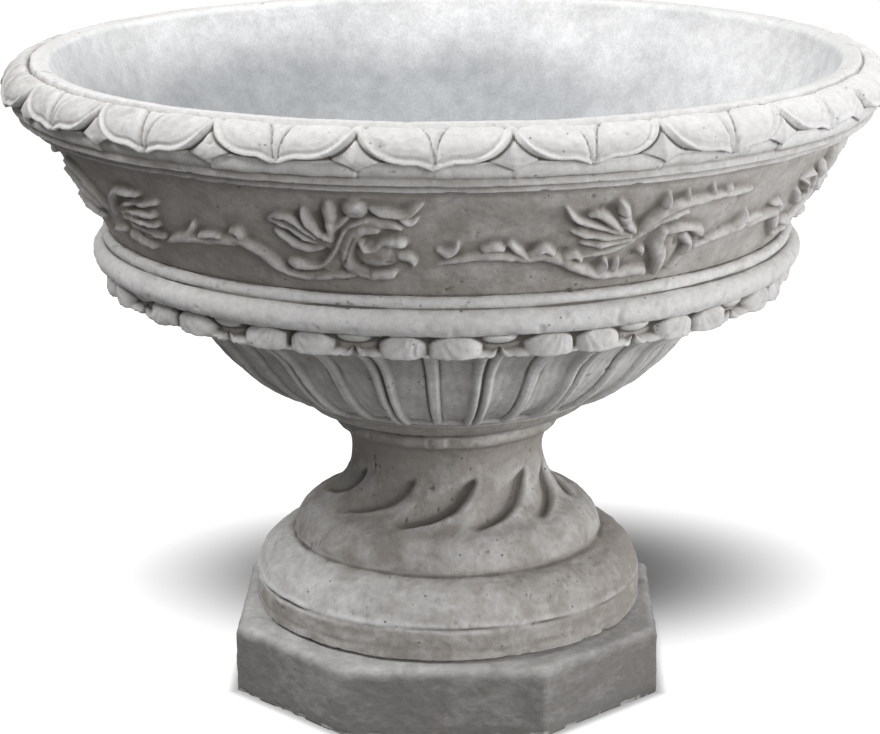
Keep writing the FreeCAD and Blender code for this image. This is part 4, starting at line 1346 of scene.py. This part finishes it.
def stone_material(name, colours, body, patches=1.0, grain=0.16, pits=0.8, stretch=(1, 1, 1),
                   washed=False):
    """Cast stone that reads the mesh's hollow, bleach and inside values."""
    material, tree, surface, place = new_material(name)
    scaled = node(tree, "ShaderNodeMapping", {"Vector": place, "Scale": stretch}).outputs[0]
    read = {label: node(tree, "ShaderNodeAttribute", attribute_name=label).outputs["Fac"]
            for label in ("hollow", "bleach", "inside")}
    stone = node(tree, "ShaderNodeGroup", node_tree=shared("stone_weathering", weathering_group))
    link_all(tree, stone.inputs, {
        "Place": scaled, "Body": colour4(body), "Pale": colour4(colours.pale),
        "Dirt": colour4(colours.dirt_and_shade), "Bleach": read["bleach"], "Hollow": read["hollow"],
        "Patches": patches, "Grain": grain, "Pits": pits})
    colour = stone.outputs["Color"]
    if washed:
        colour = washed_inside(tree, place, colour, read["inside"], colours.inside)
    link_all(tree, surface.inputs, {"Base Color": colour, "Roughness": stone.outputs["Roughness"],
                                    "Specular IOR Level": 0.25})
    bump_into(tree, surface, stone.outputs["Height"], STONE_BUMP, 0.55)
    return material


def fitting_material(name, clean, dirty, amount, size, metallic=0.0, distance=0.0004):
    """A small fitting's plain finish, from clean to dirty."""
    material, tree, surface, place = new_material(name)
    grime = node(tree, "ShaderNodeGroup", node_tree=shared("fitting_grime", grime_group))
    link_all(tree, grime.inputs, {"Place": place, "Clean": colour4(clean),
                                  "Dirty": colour4(dirty), "Amount": amount, "Size": size})
    link_all(tree, surface.inputs, {"Base Color": grime.outputs["Color"], "Metallic": metallic,
                                    "Roughness": grime.outputs["Roughness"]})
    bump_into(tree, surface, grime.outputs["Height"], distance, 0.5)
    return material


def dress(names, material):
    """Gives CAD nodes their finish."""
    for name in names:
        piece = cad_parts[name]
        piece.data.materials.clear()
        piece.data.materials.append(material)


# ---------------------------------------------------------------- operators
class URN_OT_bowl(bpy.types.Operator):
    """Build the bowl with its leaves, scroll and petals"""

    bl_idname = "urn.bowl"
    bl_label = "Bowl"

    def execute(self, context):
        scene = context.scene
        piece = build_bowl(scene.urn_ornament)
        piece.data.materials.append(stone_material("bowl_stone", scene.urn_stone,
                                                   scene.urn_stone.body, washed=True))
        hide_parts("bowl")
        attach(piece, "bowl_body")
        return {"FINISHED"}


class URN_OT_foot(bpy.types.Operator):
    """Build the turned foot with its leaning hollows"""

    bl_idname = "urn.foot"
    bl_label = "Foot"

    def execute(self, context):
        scene = context.scene
        piece = build_foot(scene.urn_ornament)
        piece.data.materials.append(stone_material(
            "foot_stone", scene.urn_stone, scene.urn_stone.body, patches=1.25, grain=0.18, pits=1.0))
        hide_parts("foot")
        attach(piece, "foot_body")
        return {"FINISHED"}


class URN_OT_plinth(bpy.types.Operator):
    """Build the eight-sided plinth with its worn edges"""

    bl_idname = "urn.plinth"
    bl_label = "Plinth"

    def execute(self, context):
        scene = context.scene
        piece = build_plinth(scene.urn_ornament)
        piece.data.materials.append(stone_material(
            "plinth_stone", scene.urn_stone, scene.urn_stone.plinth, patches=0.7, grain=0.2,
            pits=0.6, stretch=(0.8, 0.8, 1.5)))
        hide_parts("plinth")
        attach(piece, "foot_body")
        return {"FINISHED"}


class URN_OT_joints(bpy.types.Operator):
    """Finish the mortar bed, the seat pad, the drain sleeve and the dowels"""

    bl_idname = "urn.joints"
    bl_label = "Joints and drain"

    def execute(self, context):
        dress(["plinth_mortar"], fitting_material(
            "mortar_bed", (0.15, 0.145, 0.135), (0.30, 0.28, 0.25), amount=0.7, size=120.0,
            distance=0.001))
        dress(["seat_pad"], fitting_material(
            "pad_rubber", (0.028, 0.028, 0.03), (0.10, 0.098, 0.092), amount=0.5, size=90.0))
        dress(["drain_sleeve"], fitting_material(
            "drain_plastic", (0.10, 0.105, 0.11), (0.22, 0.21, 0.19), amount=0.6, size=60.0))
        dress(["foot_dowels", "neck_dowels"], fitting_material(
            "dowel_steel", (0.56, 0.57, 0.58), (0.34, 0.34, 0.33), amount=0.4, size=160.0,
            metallic=1.0, distance=0.0001))
        return {"FINISHED"}


class URN_OT_reinforcement(bpy.types.Operator):
    """Finish the bars and hoops cast into the stone"""

    bl_idname = "urn.reinforcement"
    bl_label = "Reinforcement"

    def execute(self, context):
        names = ["plinth_hoop", "drum_hoop", "neck_hoop", "rim_hoop", "shoulder_hoop",
                 "foot_bars", "bowl_bars"]
        dress(names, fitting_material(
            "rusty_bar", (0.24, 0.22, 0.21), (0.27, 0.11, 0.05), amount=0.8, size=110.0,
            metallic=0.6))
        return {"FINISHED"}


def seen_rays(tree):
    """The light path's outputs, and 1 for rays by which the camera sees a thing."""
    path = node(tree, "ShaderNodeLightPath").outputs
    seen = maths(tree, "MAXIMUM", path["Is Camera Ray"], path["Is Glossy Ray"])
    return path, maths(tree, "MAXIMUM", seen, path["Is Transmission Ray"])


FLOOR_GLOW = 0.02  # the floor's own glow inside the painted shadow patch
SHADOW_MIDDLE = (0.03, 0.36, 0.0)  # of the painted shadow patch, where the floor's glow is cut and the grey floor shows with its real shadow
SHADOW_SQUEEZE = (1.0, 1.5, 1.0)
SHADOW_INNER, SHADOW_OUTER = 0.16, 0.44  # reach of that part, with its soft edge
CONTACT_INNER, CONTACT_OUTER = 0.194, 0.209  # ring of painted contact shadow round the plinth, where the glow drops
CONTACT_SLANT = 0.685  # turns a diagonal distance into one across the plinth's cut corners


def stage_material(name):
    """White floor that glows white to the camera, except in a painted shadow patch behind the urn
    and a painted contact shadow ring round the plinth, where its glow is cut.
    """
    material, tree, surface, place = new_material(name)
    path, seen = seen_rays(tree)
    tone = between(tree, noise(tree, place, 3.0), 0.2, 0.8, 0.25, 0.26)
    tone = times(tree, tone, between(tree, path["Is Camera Ray"], 0.0, 1.0, 0.9, 1.0))
    squeezed = node(tree, "ShaderNodeVectorMath", {0: place, 1: SHADOW_SQUEEZE},
                    operation="MULTIPLY").outputs[0]
    away = node(tree, "ShaderNodeVectorMath", {0: squeezed, 1: SHADOW_MIDDLE},
                operation="DISTANCE").outputs["Value"]
    glow_cut_for_painted_shadow = between(tree, away, SHADOW_INNER, SHADOW_OUTER, FLOOR_GLOW, 1.0)
    # Close to the plinth the glow drops to 0.3 in a ring, a painted contact shadow over the real one.
    parts = node(tree, "ShaderNodeSeparateXYZ", {0: place}).outputs
    x, y = (maths(tree, "ABSOLUTE", parts[k]) for k in (0, 1))
    slanted = times(tree, plus(tree, x, y), CONTACT_SLANT)
    ring = maths(tree, "MAXIMUM", maths(tree, "MAXIMUM", x, y), slanted)
    glow_cut_for_painted_shadow = times(tree, glow_cut_for_painted_shadow, between(tree, ring, CONTACT_INNER, CONTACT_OUTER, 0.3, 1.0))
    link_all(tree, surface.inputs, {
        "Base Color": grey(tree, tone), "Roughness": 0.9, "Specular IOR Level": 0.0,
        "Emission Color": (1, 1, 1, 1), "Emission Strength": times(tree, seen, glow_cut_for_painted_shadow)})
    return material


# Lamps as (name, size, place); their powers are in the stage's settings.
LAMPS = (
    ("left", (1.2, 1.2), (-1.6, -0.7, 2.4)),
    ("right", (1.2, 1.2), (1.5, -1.1, 2.3)),
    ("low", (0.8, 0.6), (2.3, -0.5, 0.55)),
    ("top", (1.2, 1.2), (0.8, 0.4, 2.4)),
    ("front", (1.2, 1.0), (0.9, -2.3, 1.2)),
)
LAMP_TARGET = (0, 0, 0.4)


def area_light(name, power, size, place):
    """A flat lamp turned towards the urn."""
    data = bpy.data.lights.new(name, "AREA")
    data.shape = "RECTANGLE"
    data.size, data.size_y = size
    data.energy = power
    lamp = bpy.data.objects.new(name, data)
    way = Vector(LAMP_TARGET) - Vector(place)
    lamp.matrix_world = Matrix.Translation(place) @ way.to_track_quat("-Z", "Y").to_matrix().to_4x4()
    bpy.context.scene.collection.objects.link(lamp)


# The camera as fitted to the photograph, before it is turned with the ornament.
CAMERA_DISTANCE, CAMERA_HEIGHT = 2.4112, 0.9628
CAMERA_PITCH, CAMERA_YAW, CAMERA_ROLL = 15.64, -0.157, 0.30  # degrees
FOCAL_PIXELS, PHOTO_WIDTH = 2682.0, 880.0
SENSOR_WIDTH = 36.0


def place_camera():
    """The photograph's viewing angle, for a frame 880 wide and 734 high; the frame's size is not set
    here.
    """
    pitch, yaw, roll = (math.radians(v) for v in (CAMERA_PITCH, CAMERA_YAW, CAMERA_ROLL))
    ahead = Vector((math.sin(yaw) * math.cos(pitch), math.cos(yaw) * math.cos(pitch),
                    -math.sin(pitch)))
    right = Vector((math.cos(yaw), -math.sin(yaw), 0))
    down = ahead.cross(right)
    across = right * math.cos(roll) + down * math.sin(roll)
    below = down * math.cos(roll) - right * math.sin(roll)
    axes = Matrix((across, -below, -ahead)).transposed().to_4x4()
    data = bpy.data.cameras.new("camera")
    data.sensor_fit = "HORIZONTAL"
    data.sensor_width = SENSOR_WIDTH
    data.lens = FOCAL_PIXELS / PHOTO_WIDTH * SENSOR_WIDTH
    data.clip_end = 100.0
    camera = bpy.data.objects.new("camera", data)
    place = Matrix.Translation((0, -CAMERA_DISTANCE, CAMERA_HEIGHT))
    camera.matrix_world = Matrix.Rotation(math.radians(FRONT), 4, "Z") @ place @ axes
    bpy.context.scene.collection.objects.link(camera)
    bpy.context.scene.camera = camera


FLOOR_SIDE = 9.0
FLOOR_LEVEL = -0.0002


class URN_OT_stage(bpy.types.Operator):
    """Set the floor, the lights, the sky and the camera"""

    bl_idname = "urn.stage"
    bl_label = "Stage"

    def execute(self, context):
        scene = context.scene
        stage = scene.urn_stage
        mesh = bpy.data.meshes.new("stage_floor")
        corners = ((-1, -1), (1, -1), (1, 1), (-1, 1))
        mesh.from_pydata([(x * FLOOR_SIDE, y * FLOOR_SIDE, FLOOR_LEVEL) for x, y in corners], [],
                         [(0, 1, 2, 3)])
        floor = bpy.data.objects.new("stage_floor", mesh)
        floor.data.materials.append(stage_material("stage_white"))
        scene.collection.objects.link(floor)
        world = bpy.data.worlds.new("stage_sky")
        world.use_nodes = True
        tree = world.node_tree
        tree.nodes.clear()
        seen = seen_rays(tree)[1]
        dim, white = (node(tree, "ShaderNodeBackground", {"Color": (1, 1, 1, 1), "Strength": power})
                      for power in (stage.sky, 1.0))
        either = node(tree, "ShaderNodeMixShader", {0: seen, 1: dim.outputs[0],
                                                    2: white.outputs[0]})
        out = node(tree, "ShaderNodeOutputWorld")
        tree.links.new(either.outputs[0], out.inputs[0])
        scene.world = world
        scene.view_settings.view_transform = "Standard"
        for name, size, place in LAMPS:
            area_light(name + "_light", getattr(stage, name + "_power"), size, place)
        place_camera()
        return {"FINISHED"}


class URN_PT_panel(bpy.types.Panel):
    """Buttons and sizes of the urn planter"""

    bl_idname = "URN_PT_panel"
    bl_label = "Urn planter"
    bl_space_type = "VIEW_3D"
    bl_region_type = "UI"
    bl_category = "Urn planter"

    def draw(self, context):
        for group in ("urn_ornament", "urn_stone", "urn_stage"):
            values = getattr(context.scene, group)
            for name in values.bl_rna.properties.keys():
                if name not in {"rna_type", "name"}:
                    self.layout.prop(values, name)
        for step in STEPS:
            self.layout.operator(step.bl_idname)


STEPS = (URN_OT_bowl, URN_OT_foot, URN_OT_plinth, URN_OT_joints, URN_OT_reinforcement, URN_OT_stage)
GROUPS = (("urn_ornament", UrnOrnament), ("urn_stone", UrnStone), ("urn_stage", UrnStage))


def register():
    """Adds the settings, the operators and the panel to Blender."""
    for name, group in GROUPS:
        bpy.utils.register_class(group)
        setattr(bpy.types.Scene, name, PointerProperty(type=group))
    for step in (*STEPS, URN_PT_panel):
        bpy.utils.register_class(step)


def unregister():
    """Takes them away again."""
    for step in (URN_PT_panel, *reversed(STEPS)):
        bpy.utils.unregister_class(step)
    for name, group in reversed(GROUPS):
        delattr(bpy.types.Scene, name)
        bpy.utils.unregister_class(group)


def main():
    """Builds the whole urn planter."""
    register()
    for step in STEPS:
        area, name = step.bl_idname.split(".")
        getattr(getattr(bpy.ops, area), name)()


if __name__ == "__main__":
    main()
